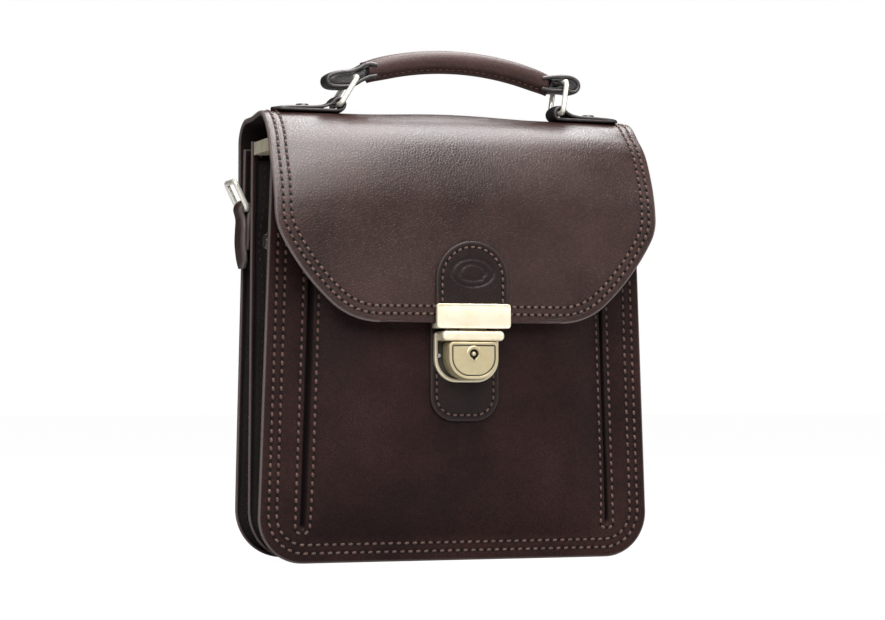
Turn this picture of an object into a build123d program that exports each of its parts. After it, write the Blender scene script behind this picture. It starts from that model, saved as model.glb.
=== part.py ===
from build123d import *
import os
from math import asin, atan2, cos, radians, sin, tan

os.makedirs("parts", exist_ok=True)

# A small flap-over satchel. Millimetres, +Z up, front towards -Y.
# The origin is on the floor, under the middle of the bag's whole box.

# ---------------------------------------------------------------- driving dimensions
# Overall sizes. The values below that hang on one of these move with it.
body_width = 230.0            # front panel at its foot
front_height = 232.0
back_y = 43.0                 # outer face of the back panel

# Body: three upright panels with a gusset between each two.
front_taper = 16.0            # how much narrower the front panel is at its top edge
rear_narrower = 5.0           # how much narrower the back panel and divider are at the foot
rear_taper = 10.0             # how much narrower again at their top edges
divider_height = front_height + 1.0
back_height = front_height - 2.0
front_corner = 26.0           # radius of the front panel's lower corners
rear_corner = 28.0            # radius of the other panels' lower corners
front_y = -16.0               # outer face of the front panel along its edges
divider_foot_y = back_y - 31.5   # front face of the divider at its foot
divider_top_y = back_y - 18.5    # the same at its top edge
panel_wall = 3.0              # leather and board of an outer panel
divider_wall = 2.6
gusset_wall = 1.8
gusset_recess = 5.0           # how far the gussets stand inside the panel edges
gusset_drop = 10.0            # how far the gussets end below the front panel's top
lining_wall = 0.8
back_lining_gap = 0.6         # between a lining's edge and the gusset beside it
divider_lining_gap = 2.0
pocket_back_gap = 4.0

# Front pocket: the middle of the front panel, raised between two slits.
pocket_rise = 10.0            # how far its face stands ahead of the panel's edges
pocket_wall = 2.6
pocket_taper = 45.0           # slope of its sides, degrees
pocket_corner = 8.0
pocket_foot_z = 12.0
pocket_top_z = front_height - 20.0
slit_from_edge = 24.6         # slit centre to the panel's side edge
slit_width = 2.4
slit_foot_z = 20.0
slit_top_z = front_height - 26.0
slit_margin = 1.6             # flat leather between a slit and the raised pocket
welt_width = 16.0
welt_wall = 1.2
welt_beyond = 6.0             # how far a welt runs past its slit at each end

# Flap and crown: one sheet over the top, cut at the hinge line.
crown_z = front_height + 15.7    # top of the crown
crown_narrower = 1.3          # how far the crown's ends stand inside the flap's sides
crown_front_y = 2.0           # where the flat crown starts to fall to the front
back_shoulder = 14.6          # outer radius over the back edge
front_shoulder = 36.0         # outer radius over the front edge
front_shoulder_turn = 62.0    # degrees turned by that radius
flap_bow = 72.0               # outer radius that brings the flap upright
flap_leather = 2.4
flap_lining_wall = 0.6
crown_lining_margin = 1.0
hinge_turn = 39.0             # degrees round the front shoulder to the hinge line
hinge_gap = 0.2               # half the gap between crown and flap
flap_narrower = 3.7           # how far the flap's sides stand inside the front panel's foot
flap_foot_z = front_height - 101.0
flap_corner_radii = (30.0, 130.0, 40.0)   # its lower corners, from the side to the foot
flap_corner_turns = (28.0, 20.0, 42.0)    # degrees turned by each, 90 in all

# Lock: a case on the front panel, a hasp on the flap, all on X = 0.
# Its heights hang on the flap's lower edge.
patch_wall = 2.0
lower_patch_half = 20.0
lower_patch_foot = flap_foot_z - 54.0
lower_patch_top = flap_foot_z + 19.0
lower_patch_corner = 14.0
upper_patch_half = 21.0
upper_patch_top = flap_foot_z + 44.8
lock_half = 18.75             # base plate
lock_foot = flap_foot_z - 32.6
lock_top = flap_foot_z - 4.5
lock_corner = 13.0
lock_plate = 3.0              # thickness of the base plate
lock_chamfer = 0.6
collar_half = 18.0
collar_foot = flap_foot_z - 10.0
collar_reach = 11.6           # how far the collar stands ahead of the base plate
collar_corner = 3.0
thumb_half = 14.3             # sliding thumb piece
thumb_foot = flap_foot_z - 31.0
thumb_top = flap_foot_z - 10.5
thumb_corner = 12.0
thumb_reach = 11.2
thumb_chamfer = 1.2
thumb_rim = 2.6               # width of the rim round the thumb piece's sunk face
thumb_sink = 0.5
thumb_travel = 2.5
shank_half = 4.0              # the thumb piece's neck through the front panel
shank_foot = thumb_foot + 2.0
shank_top = shank_foot + 6.0
shank_corner = 0.6
keeper_width = 13.0           # holds the neck behind the panel
keeper_height = 9.0
keeper_wall = 1.0
slide_gap = 0.3               # clearance round what slides
cylinder_z = flap_foot_z - 17.1
cylinder_radius = 4.6
cylinder_chamfer = 0.4
cylinder_sink = 0.3           # how far the cylinder's face stands behind the thumb's
key_hole_radius = 1.1
key_slot_width = 0.9
key_slot_length = 3.2
key_depth = 7.0
turn_gap = 0.05               # radial clearance round what turns
cam_hub = 2.2
cam_width = 2.4
cam_wall = 1.2
cam_length = 4.8              # cylinder's middle to the cam's tip
cam_room = 5.6                # radius of the space the cam turns in
arm_half = 5.0                # latch arm behind the collar
arm_wall = 1.8
arm_top = flap_foot_z + 0.5
arm_nose = (0.8, 1.2)         # top land and height of its sloping nose
peg_x = 10.0                  # spring pegs and the pockets they run in
peg_half = 1.2
peg_reach = 3.0
peg_foot = flap_foot_z - 28.1
peg_top = peg_foot + 1.5
peg_pocket_depth = 3.4
spring_top = flap_foot_z - 17.0
spring_end_gap = 0.35
spring_pitch = 1.6
spring_radius = 0.85
spring_wire = 0.22            # wire radius
catch_half = 12.0             # plate with the striker's window
catch_wall = 2.0
catch_foot = lock_top + 0.6
catch_window_gap = (0.6, 0.8)    # beside and above the striker
backplate_half = 20.0         # steel plate behind the front panel
backplate_foot = flap_foot_z - 34.5
backplate_top = flap_foot_z + 12.0
backplate_wall = 1.0
base_rivet_x = lock_half - 2.3
base_rivet_z = flap_foot_z - 18.0
catch_rivet_x = 9.5
catch_rivet_z = flap_foot_z + 7.5
lock_rivet_radius = 1.1
lock_rivet_head = 2.0
small_head_height = 0.8       # heads of the lock's and the hasp's rivets
hasp_half = 21.5
hasp_foot = flap_foot_z - 3.2
hasp_top = flap_foot_z + 10.3
hasp_wall = 2.8
hasp_chamfer = 0.8
hasp_lip = 2.9                # height of the lip under the flap's edge
hasp_back = 1.4               # thickness of the plate behind the flap
hasp_back_half = 12.0
hasp_rivet_x = 9.0
hasp_rivet_z = flap_foot_z + 6.4
hasp_rivet_radius = 1.2
hasp_rivet_head = 2.1
striker_half = 4.0
striker_foot = flap_foot_z + 1.0
striker_top = flap_foot_z + 5.0
striker_chamfer = 0.5
striker_gap = 0.6             # between its tip and the patch on the front panel

# Handle, its two rings and the straps that hold them.
handle_y = 0.0
strap_end_margin = 7.0        # crown's end to a strap's outer end
strap_length = 37.0           # a strap's outer end to its ring's bar
strap_rivet_from_end = 17.5
strap_rivet_radius = 1.6
strap_rivet_head = 4.0
strap_rivet_foot = 3.2
strap_width = 14.0
strap_wall = 3.0
strap_loop = 4.2              # outer radius of the loop round a ring
strap_throat = (2.4, 9.0)     # where the loop starts to close and where it lies flat
strap_gap = 0.1               # between a strap and the crown
ring_pivot_z = crown_z + strap_loop + strap_gap
ring_length = 18.0            # bar to bar
ring_width = 20.0             # side wire to side wire
ring_wire = 1.45              # wire radius
ring_bend = 2.5               # bend at the ring's corners
left_lean = 32.0              # degrees towards +X at rest
right_lean = 8.0
open_pivot_gap = 0.9          # radial clearance at the right-hand handle loop
bar_gap = 0.08                # radial clearance at the other loops
grip_radius = 5.75
grip_core = 3.9
grip_ends_in = (16.5, 5.0)    # left and right ends of the grip, inwards from the rings' bars
grip_peak_x = -3.0
grip_rises = (19.9, 27.7, 16.8)  # its left end, peak and right end above the rings' bars
grip_loop = 5.6               # radius of the handle's end loops
grip_loop_reach = (17.3, 10.4)   # how far the left and right loops run on past their rings
grip_loop_width = 13.0
grip_loop_overlap = 3.0       # how far a loop runs on round the grip's end
grip_loop_edge = 0.6          # how far it stands inside the grip's outer face there
plate_length_margin = 4.0     # steel plate under the crown
plate_depth = 26.0
plate_y = crown_front_y + 7.0
plate_wall = 1.2
plate_gap = 0.6

# Rings on the sides for a shoulder strap.
side_y = back_y - 11.5
side_pivot_in = 4.6           # how far their bars stand inside the front panel's foot
side_pivot_z = back_height - 35.0
side_ring_length = 17.0
side_ring_width = 18.6
side_ring_lean = 26.0         # degrees outward at rest
side_tab_width = 12.0         # the part between the panels' edges
side_tab_cover = 18.0         # the part outside the edges, no wider than the ring allows
side_tab_foot = side_pivot_z - 32.0
side_tab_wall = 2.6
side_tab_loop = 3.9
side_tab_neck = 8.0           # height over which the tab closes in on its loop
side_rivet_z = side_pivot_z - 21.0
side_rivet_radius = 1.5
side_rivet_head = 3.4
side_rivet_foot = 3.0
snap_y = 5.0
snap_z = front_height - 56.0
snap_head = 5.0
snap_height = 1.8
snap_slope = 35.0             # degrees
snap_foot = 3.4
head_height = 1.2             # heads of the strap and side rivets
head_slope = 30.0             # degrees
foot_height = 0.9             # the rivets' flat feet
foot_gap = 0.4                # between a foot and the leaning gusset

# Zip over the front compartment.
zip_z = front_height - 4.0    # underside of the tapes
zip_y = 6.0
tape_wall = 1.0
tape_margin = 4.0             # how far the tapes end inside the front panel's top edge
teeth_gap = 0.6               # half the gap that the slider's web runs in
teeth_reach = 2.6
teeth_pitch = 2.4
teeth_height = 2.2
teeth_spine = 1.0             # width of the strip that joins a row
tooth_depth = 1.6
zip_cap_beyond = 4.0          # how far an end cap stands out past the tapes
zip_cap_length = 8.0
zip_cap_height = 7.0
zip_cap_wall = 2.0
zip_cap_margins = (1.5, 2.5)  # clear of the front panel and of the divider
zip_slider_length = 10.0
zip_slider_half = 4.5
zip_slider_corner = 2.0
zip_slider_from_end = 11.0    # slider's middle to the tapes' left end
slider_plate = 1.3
slider_web = 0.4              # half the thickness of the web between its plates
pull_eye = 1.9                # the slider's lug
pull_eye_width = 2.0
pull_pin = 0.95
pull_pin_length = 3.4
pull_rise = 1.9               # the pin's axis above the slider
zip_pull_length = 20.0
zip_pull_width = 6.0
zip_pull_wall = 1.0
zip_pull_corner = 2.0
pull_window_gap = 0.6         # between the lug and the pull's window, lengthwise
pull_window_width = 2.6
pull_end_band = 1.0           # what is left of the pull beyond its window

# ---------------------------------------------------------------- derived places
front_half = body_width / 2
front_top_half = front_half - front_taper / 2
rear_half = front_half - rear_narrower / 2
rear_top_half = rear_half - rear_taper / 2
flap_half = front_half - flap_narrower
crown_half = flap_half - crown_narrower
front_inner = front_y + panel_wall
back_inner = back_y - panel_wall
lean = atan2(divider_top_y - divider_foot_y, divider_height)
pocket_y = front_y - pocket_rise
patch_y = pocket_y - patch_wall
base_y = patch_y - lock_plate
flap_wall = flap_leather + flap_lining_wall
shoulder_z = crown_z - front_shoulder
turn = radians(front_shoulder_turn)
flap_y = crown_front_y - front_shoulder * sin(turn) - flap_bow * (1 - sin(turn))
hinge_y = crown_front_y - front_shoulder * sin(radians(hinge_turn))
hinge_z = shoulder_z + front_shoulder * cos(radians(hinge_turn))
flap_back_y = flap_y + flap_wall
upper_patch_y = flap_y - patch_wall
flap_side_z = flap_foot_z
turned_so_far = 0.0
for corner_radius, corner_turn in zip(flap_corner_radii, flap_corner_turns):
    turned_next = turned_so_far + corner_turn
    flap_side_z += corner_radius * (sin(radians(turned_next)) - sin(radians(turned_so_far)))
    turned_so_far = turned_next
hasp_y = upper_patch_y - hasp_wall
hasp_inner_y = flap_back_y + hasp_back
striker_tip_y = patch_y - striker_gap
strap_end_x = crown_half - strap_end_margin
strap_rivet_x = strap_end_x - strap_rivet_from_end
ring_pivot_x = strap_end_x - strap_length
grip_left_x = grip_ends_in[0] - ring_pivot_x
grip_left_z = ring_pivot_z + grip_rises[0]
grip_peak_z = ring_pivot_z + grip_rises[1]
grip_right_x = ring_pivot_x - grip_ends_in[1]
grip_right_z = ring_pivot_z + grip_rises[2]
ring_left_top = (-ring_pivot_x + ring_length * sin(radians(left_lean)),
                 ring_pivot_z + ring_length * cos(radians(left_lean)))
ring_right_top = (ring_pivot_x + ring_length * sin(radians(right_lean)),
                  ring_pivot_z + ring_length * cos(radians(right_lean)))
side_pivot_x = front_half - side_pivot_in
tape_half = front_top_half - tape_margin
zip_cap_half = tape_half + zip_cap_beyond
zip_slider_x = zip_slider_from_end - tape_half


def front_edge(z):
    """Half width of the front panel at height z."""
    return front_half + (front_top_half - front_half) * z / front_height


def rear_edge(z):
    """Half width of the back panel at height z."""
    return rear_half + (rear_top_half - rear_half) * z / back_height


def panel_face(plane, half, top_half, height, corner, inset=0.0):
    """A panel's outline: narrower at the top, round at the lower corners."""
    slope = (top_half - half) / height
    foot = half + slope * inset - inset
    top = top_half - inset
    with BuildSketch(plane) as face:
        Polygon((-foot, inset), (foot, inset), (top, height), (-top, height), align=None)
        fillet(face.vertices().group_by(Axis.Y)[0], max(corner - inset, 1.0))
    return face.sketch


def gusset_face(plane, height, inset, wall):
    """A U-shaped strip that follows the panels' edges, open at the top."""
    half = (front_half + rear_half) / 2
    top_half = (front_top_half + rear_top_half) / 2
    outer = panel_face(plane, half, top_half, height, rear_corner, inset)
    inner = panel_face(plane, half, top_half, height, rear_corner, inset + wall)
    return outer - inner


def flap_line(inset):
    """The sheet over the top, seen from the side: up the back edge, over, down the front."""
    Line((back_y - inset, back_height), (back_y - inset, crown_z - back_shoulder))
    JernArc((back_y - inset, crown_z - back_shoulder), (0, 1), back_shoulder - inset, 90)
    Line((back_y - back_shoulder, crown_z - inset), (crown_front_y, crown_z - inset))
    fall = JernArc((crown_front_y, crown_z - inset), (-1, 0), front_shoulder - inset,
                   front_shoulder_turn)
    bow = JernArc(fall @ 1, fall % 1, flap_bow - inset, 90 - front_shoulder_turn)
    Line(bow @ 1, (flap_y + inset, flap_foot_z))


def flap_sheet(outer, inner):
    """The area between two depths of that sheet, as a face on the YZ plane."""
    with BuildSketch(Plane.YZ) as sheet:
        with BuildLine():
            flap_line(outer)
            flap_line(inner)
            Line((back_y - outer, back_height), (back_y - inner, back_height))
            Line((flap_y + outer, flap_foot_z), (flap_y + inner, flap_foot_z))
        make_face()
    return sheet.sketch


def flap_outline():
    """The flap seen from the front: straight sides, round corners, straight lower edge."""
    with BuildSketch(Plane.XZ) as outline:
        with BuildLine():
            place = (flap_half, flap_side_z)
            heading = (0, -1)
            for radius, turned in zip(flap_corner_radii, flap_corner_turns):
                bend = JernArc(place, heading, radius, -turned)
                place = bend @ 1
                heading = bend % 1
            Line(place, (0, flap_foot_z))
            Line((flap_half, flap_side_z), (flap_half, crown_z))
            Line((flap_half, crown_z), (0, crown_z))
            mirror(about=Plane.YZ)
        make_face()
    return outline.sketch


def shield(plane, half, foot, top, corner):
    """A plate outline with round lower corners."""
    with BuildSketch(plane) as face:
        Polygon((-half, foot), (half, foot), (half, top), (-half, top), align=None)
        fillet(face.vertices().group_by(Axis.Y)[0], min(corner, half - 0.5))
    return face.sketch


def bent_ring(x, y, z, lean_angle, width, length):
    """A closed ring of round wire that stands on the bar at (x, z) and leans by an angle."""
    tilt = radians(lean_angle)
    along = Vector(sin(tilt), 0, cos(tilt))
    plane = Plane(origin=Vector(x, y, z) + along * (length / 2), x_dir=(0, 1, 0),
                  z_dir=Vector(0, 1, 0).cross(along))
    with BuildSketch(plane) as frame:
        RectangleRounded(width, length, ring_bend)
    path = frame.sketch.faces()[0].outer_wire()
    with BuildPart() as ring:
        with BuildSketch(Plane(origin=path @ 0, z_dir=path % 0)):
            Circle(ring_wire)
        sweep(path=path)
    return ring.part


def save(piece, name):
    """Label a finished piece and write its file."""
    piece.label = name
    export_step(piece, "parts/" + name + ".step")


divider_rear = Plane(origin=(0, divider_foot_y + divider_wall / cos(lean), 0), x_dir=(1, 0, 0),
                     z_dir=(0, -cos(lean), sin(lean)))
divider_front = divider_rear.offset(divider_wall)
hinge_plane = Plane(origin=(0, hinge_y, hinge_z), x_dir=(1, 0, 0),
                    z_dir=(0, -cos(radians(hinge_turn)), -sin(radians(hinge_turn))))

# ---------------------------------------------------------------- body
with BuildPart() as back_panel:
    extrude(panel_face(Plane.XZ.offset(-back_y), rear_half, rear_top_half, back_height,
                       rear_corner), amount=panel_wall)
save(back_panel.part, "back_panel")

with BuildPart() as back_lining:
    extrude(panel_face(Plane.XZ.offset(-back_inner), rear_half, rear_top_half,
                       back_height - gusset_drop, rear_corner,
                       gusset_recess + gusset_wall + back_lining_gap), amount=lining_wall)
save(back_lining.part, "back_lining")

with BuildPart() as divider_panel:
    extrude(panel_face(divider_rear, rear_half, rear_top_half, divider_height, rear_corner),
            amount=divider_wall)
save(divider_panel.part, "divider_panel")

with BuildPart() as divider_lining:
    for face_plane, direction in ((divider_front, 1), (divider_rear, -1)):
        extrude(panel_face(face_plane, rear_half, rear_top_half, divider_height - gusset_drop,
                           rear_corner, gusset_recess + gusset_wall + divider_lining_gap),
                amount=direction * lining_wall)
save(divider_lining.part, "divider_lining")

gusset_height = front_height - gusset_drop
with BuildPart() as rear_gusset:
    extrude(gusset_face(Plane.XZ.offset(-back_inner), gusset_height, gusset_recess,
                        gusset_wall), amount=back_inner - divider_foot_y + divider_wall)
    split(bisect_by=divider_rear, keep=Keep.BOTTOM)
    with Locations((0, side_y, side_rivet_z)):
        Cylinder(side_rivet_radius, 2 * body_width, rotation=(0, 90, 0), mode=Mode.SUBTRACT)
save(rear_gusset.part, "rear_gusset")

with BuildPart() as front_gusset:
    extrude(gusset_face(Plane.XZ.offset(-front_inner), gusset_height, gusset_recess,
                        gusset_wall), amount=-(divider_top_y - front_inner))
    split(bisect_by=divider_front, keep=Keep.TOP)
    with Locations((0, snap_y, snap_z)):
        Cylinder(side_rivet_radius, 2 * body_width, rotation=(0, 90, 0), mode=Mode.SUBTRACT)
save(front_gusset.part, "front_gusset")

pocket_foot_half = front_edge(pocket_foot_z) - slit_from_edge - slit_width / 2 - slit_margin
pocket_top_half = front_edge(pocket_top_z) - slit_from_edge - slit_width / 2 - slit_margin


def pocket_face(y, inset):
    """The raised pocket's outline at depth y."""
    with BuildSketch(Plane.XZ.offset(-y)) as face:
        Polygon((-pocket_foot_half + inset, pocket_foot_z + inset),
                (pocket_foot_half - inset, pocket_foot_z + inset),
                (pocket_top_half - inset, pocket_top_z - inset),
                (-pocket_top_half + inset, pocket_top_z - inset), align=None)
        fillet(face.vertices(), pocket_corner - inset)
    return face.sketch


def lock_holes(y):
    """Rivet holes and the thumb piece's slot, through everything under the lock."""
    with BuildSketch(Plane.XZ.offset(-y)) as holes:
        with Locations((base_rivet_x, base_rivet_z), (-base_rivet_x, base_rivet_z),
                       (catch_rivet_x, catch_rivet_z), (-catch_rivet_x, catch_rivet_z)):
            Circle(lock_rivet_radius)
        with Locations((0, (shank_foot + shank_top - thumb_travel) / 2)):
            Rectangle(2 * (shank_half + slide_gap),
                      shank_top - shank_foot + thumb_travel + 2 * slide_gap)
    return holes.sketch


def slit_line(side):
    """A slit's foot and top, parallel to the panel's side edge."""
    foot = side * (front_edge(slit_foot_z) - slit_from_edge)
    top = side * (front_edge(slit_top_z) - slit_from_edge)
    return foot, top


with BuildPart() as front_panel:
    extrude(panel_face(Plane.XZ.offset(-front_inner), front_half, front_top_half,
                       front_height, front_corner), amount=panel_wall)
    extrude(pocket_face(front_y, 0.0), amount=pocket_rise, taper=pocket_taper)
    hollow_inset = pocket_wall * (1 / cos(radians(pocket_taper)) - tan(radians(pocket_taper)))
    extrude(pocket_face(front_y, hollow_inset), amount=pocket_rise - pocket_wall,
            taper=pocket_taper, mode=Mode.SUBTRACT)
    extrude(pocket_face(front_inner, hollow_inset), amount=panel_wall, mode=Mode.SUBTRACT)
    for side in (-1, 1):
        foot_x, top_x = slit_line(side)
        with BuildSketch(Plane.XZ.offset(-front_inner)):
            Polygon((foot_x - slit_width / 2, slit_foot_z), (foot_x + slit_width / 2, slit_foot_z),
                    (top_x + slit_width / 2, slit_top_z), (top_x - slit_width / 2, slit_top_z),
                    align=None)
        extrude(amount=panel_wall, mode=Mode.SUBTRACT)
    extrude(lock_holes(front_y), amount=pocket_rise, mode=Mode.SUBTRACT)
save(front_panel.part, "front_panel")

with BuildPart() as slit_welts:
    for side in (-1, 1):
        foot_x, top_x = slit_line(side)
        with BuildSketch(Plane.XZ.offset(-front_inner)):
            Polygon((foot_x - welt_width / 2, slit_foot_z - welt_beyond),
                    (foot_x + welt_width / 2, slit_foot_z - welt_beyond),
                    (top_x + welt_width / 2, slit_top_z + welt_beyond),
                    (top_x - welt_width / 2, slit_top_z + welt_beyond), align=None)
        extrude(amount=-welt_wall)
save(slit_welts.part, "slit_welts")

with BuildPart() as pocket_back:
    extrude(panel_face(Plane.XZ.offset(-front_inner - welt_wall), front_half, front_top_half,
                       front_height - gusset_drop, front_corner,
                       gusset_recess + gusset_wall + pocket_back_gap), amount=-lining_wall)
save(pocket_back.part, "pocket_back")

# ---------------------------------------------------------------- crown and flap
strap_holes = [(side * strap_rivet_x, handle_y) for side in (-1, 1)]

with BuildPart() as flap_crown:
    extrude(flap_sheet(0.0, flap_leather), amount=crown_half, both=True)
    split(bisect_by=hinge_plane.offset(-hinge_gap), keep=Keep.BOTTOM)
    with Locations((0, 0, crown_z)):
        with Locations(*strap_holes):
            Cylinder(strap_rivet_radius, 4 * flap_wall, mode=Mode.SUBTRACT)
save(flap_crown.part, "flap_crown")

with BuildPart() as crown_lining:
    extrude(flap_sheet(flap_leather, flap_wall), amount=crown_half - crown_lining_margin,
            both=True)
    split(bisect_by=hinge_plane.offset(-hinge_gap), keep=Keep.BOTTOM)
    with Locations((0, 0, crown_z)):
        with Locations(*strap_holes):
            Cylinder(strap_rivet_radius, 4 * flap_wall, mode=Mode.SUBTRACT)
save(crown_lining.part, "crown_lining")


def hasp_holes():
    """The holes for the hasp's rivets."""
    with BuildSketch(Plane.XZ) as holes:
        with Locations((hasp_rivet_x, hasp_rivet_z), (-hasp_rivet_x, hasp_rivet_z)):
            Circle(hasp_rivet_radius)
    return holes.sketch


with BuildPart() as flap_leaf:
    extrude(flap_sheet(0.0, flap_leather), amount=flap_half, both=True)
    split(bisect_by=hinge_plane.offset(hinge_gap), keep=Keep.TOP)
    extrude(flap_outline(), amount=2 * abs(flap_y), mode=Mode.INTERSECT)
    extrude(hasp_holes(), amount=2 * abs(flap_y), mode=Mode.SUBTRACT)
save(flap_leaf.part, "flap_leaf")

with BuildPart() as flap_lining:
    extrude(flap_sheet(flap_leather, flap_wall), amount=flap_half, both=True)
    split(bisect_by=hinge_plane.offset(hinge_gap), keep=Keep.TOP)
    extrude(flap_outline(), amount=2 * abs(flap_y), mode=Mode.INTERSECT)
    extrude(hasp_holes(), amount=2 * abs(flap_y), mode=Mode.SUBTRACT)
save(flap_lining.part, "flap_lining")

with BuildPart() as upper_lock_patch:
    with BuildSketch(Plane.XZ.offset(-flap_y)) as patch:
        Polygon((-upper_patch_half, flap_foot_z), (upper_patch_half, flap_foot_z),
                (upper_patch_half, upper_patch_top - upper_patch_half),
                (-upper_patch_half, upper_patch_top - upper_patch_half), align=None)
        with Locations((0, upper_patch_top - upper_patch_half)):
            Circle(upper_patch_half)
    extrude(amount=patch_wall)
    extrude(hasp_holes(), amount=2 * abs(flap_y), mode=Mode.SUBTRACT)
save(upper_lock_patch.part, "upper_lock_patch")

# ---------------------------------------------------------------- hasp on the flap
with BuildPart() as hasp_plate:
    with BuildSketch(Plane.YZ):
        with BuildLine():
            Polyline((hasp_y, hasp_foot), (hasp_inner_y, hasp_foot),
                     (hasp_inner_y, hasp_foot + hasp_lip), (upper_patch_y, hasp_foot + hasp_lip),
                     (upper_patch_y, hasp_top), (hasp_y, hasp_top), close=True)
        make_face()
    extrude(amount=hasp_half, both=True)
    front_edges = hasp_plate.faces().sort_by(Axis.Y)[0].edges()
    chamfer(front_edges, hasp_chamfer)
save(hasp_plate.part, "hasp_plate")

with BuildPart() as hasp_backplate:
    with BuildSketch(Plane.XZ.offset(-hasp_inner_y)):
        Polygon((-hasp_back_half, hasp_foot + hasp_lip), (hasp_back_half, hasp_foot + hasp_lip),
                (hasp_back_half, hasp_top), (-hasp_back_half, hasp_top), align=None)
    extrude(amount=hasp_back)
    extrude(hasp_holes(), amount=2 * abs(flap_y), mode=Mode.SUBTRACT)
save(hasp_backplate.part, "hasp_backplate")

with BuildPart() as hasp_rivets:
    with BuildSketch(Plane.XZ.offset(-hasp_inner_y)):
        with Locations((hasp_rivet_x, hasp_rivet_z), (-hasp_rivet_x, hasp_rivet_z)):
            Circle(hasp_rivet_radius)
    extrude(amount=hasp_inner_y - upper_patch_y)
    with BuildSketch(Plane.XZ.offset(-hasp_inner_y)):
        with Locations((hasp_rivet_x, hasp_rivet_z), (-hasp_rivet_x, hasp_rivet_z)):
            Circle(hasp_rivet_head)
    extrude(amount=-small_head_height)
save(hasp_rivets.part, "hasp_rivets")

with BuildPart() as striker:
    with BuildSketch(Plane.XZ.offset(-striker_tip_y)):
        Polygon((-striker_half, striker_foot), (striker_half, striker_foot),
                (striker_half, striker_top), (-striker_half, striker_top), align=None)
    extrude(amount=striker_tip_y - hasp_inner_y)
    chamfer(striker.faces().sort_by(Axis.Y)[-1].edges(), striker_chamfer)
save(striker.part, "striker")

# ---------------------------------------------------------------- lock on the front panel
with BuildPart() as lower_lock_patch:
    extrude(shield(Plane.XZ.offset(-pocket_y), lower_patch_half, lower_patch_foot,
                   lower_patch_top, lower_patch_corner), amount=patch_wall)
    extrude(lock_holes(pocket_y), amount=patch_wall, mode=Mode.SUBTRACT)
save(lower_lock_patch.part, "lower_lock_patch")

with BuildPart() as lock_base:
    extrude(shield(Plane.XZ.offset(-patch_y), lock_half, lock_foot, lock_top, lock_corner),
            amount=lock_plate)
    chamfer(lock_base.faces().sort_by(Axis.Y)[0].edges(), lock_chamfer)
    extrude(lock_holes(patch_y), amount=lock_plate, mode=Mode.SUBTRACT)
    with Locations((peg_x, base_y - peg_reach / 2, (peg_foot + peg_top) / 2),
                   (-peg_x, base_y - peg_reach / 2, (peg_foot + peg_top) / 2)):
        Box(2 * peg_half, peg_reach, peg_top - peg_foot)
save(lock_base.part, "lock_base")

with BuildPart() as lock_collar:
    with BuildSketch(Plane.XY.offset(collar_foot)):
        with Locations((0, base_y - collar_reach / 2)):
            Rectangle(2 * collar_half, collar_reach)
    extrude(amount=lock_top - collar_foot)
    fillet(lock_collar.edges().filter_by(Axis.Z).group_by(Axis.Y)[0], collar_corner)
    chamfer(lock_collar.faces().sort_by(Axis.Z)[-1].edges().group_by(Axis.Y)[0], lock_chamfer)
    with Locations((0, base_y, (collar_foot + lock_top) / 2)):
        Box(2 * (arm_half + slide_gap), 2 * (arm_wall + 2 * slide_gap), lock_top,
            mode=Mode.SUBTRACT)
save(lock_collar.part, "lock_collar")

thumb_back_y = base_y - slide_gap
thumb_front_y = base_y - thumb_reach - slide_gap
with BuildPart() as thumb_piece:
    extrude(shield(Plane.XZ.offset(-thumb_back_y), thumb_half, thumb_foot, thumb_top,
                   thumb_corner), amount=thumb_reach)
    chamfer(thumb_piece.faces().sort_by(Axis.Y)[0].edges(), thumb_chamfer)
    extrude(shield(Plane.XZ.offset(-thumb_front_y), thumb_half - thumb_rim,
                   thumb_foot + thumb_rim, thumb_top - thumb_rim, thumb_corner - thumb_rim),
            amount=-thumb_sink, mode=Mode.SUBTRACT)
    extrude(shield(Plane.XZ.offset(-thumb_back_y), shank_half, shank_foot, shank_top,
                   shank_corner),
            amount=-(patch_wall + lock_plate + pocket_wall + backplate_wall + 2 * slide_gap))
    with Locations((0, thumb_back_y, cylinder_z)):
        Cylinder(cylinder_radius + turn_gap, 3 * thumb_reach, rotation=(90, 0, 0),
                 mode=Mode.SUBTRACT)
        Cylinder(cam_room, 2 * (cam_wall + 2 * slide_gap), rotation=(90, 0, 0),
                 mode=Mode.SUBTRACT)
    for side in (-1, 1):
        with BuildSketch(Plane.XZ.offset(-thumb_back_y)):
            with Locations((side * peg_x, (peg_foot + spring_top - slide_gap) / 2)):
                Rectangle(2 * (peg_half + slide_gap), spring_top - peg_foot + slide_gap)
        extrude(amount=peg_pocket_depth, mode=Mode.SUBTRACT)
save(thumb_piece.part, "thumb_piece")

keeper_y = pocket_y + pocket_wall + backplate_wall + slide_gap
with BuildPart() as thumb_keeper:
    with Locations((0, keeper_y + keeper_wall / 2, (shank_foot + shank_top) / 2)):
        Box(keeper_width, keeper_wall, keeper_height)
save(thumb_keeper.part, "thumb_keeper")

with BuildPart() as latch_arm:
    with BuildSketch(Plane.YZ):
        with BuildLine():
            Polyline((thumb_back_y, thumb_top), (thumb_back_y, arm_top),
                     (thumb_back_y - arm_nose[0], arm_top),
                     (thumb_back_y - arm_wall, arm_top - arm_nose[1]),
                     (thumb_back_y - arm_wall, thumb_top), close=True)
        make_face()
    extrude(amount=arm_half, both=True)
save(latch_arm.part, "latch_arm")

with BuildPart() as lock_springs:
    for side in (-1, 1):
        with BuildLine() as coil:
            Helix(spring_pitch, spring_top - peg_top - 2 * spring_end_gap, spring_radius,
                  center=(side * peg_x, thumb_back_y - peg_pocket_depth / 2,
                          peg_top + spring_end_gap))
        with BuildSketch(Plane(origin=coil.line @ 0, z_dir=coil.line % 0)):
            Circle(spring_wire)
        sweep(path=coil.line, is_frenet=True)
save(lock_springs.part, "lock_springs")

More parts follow.
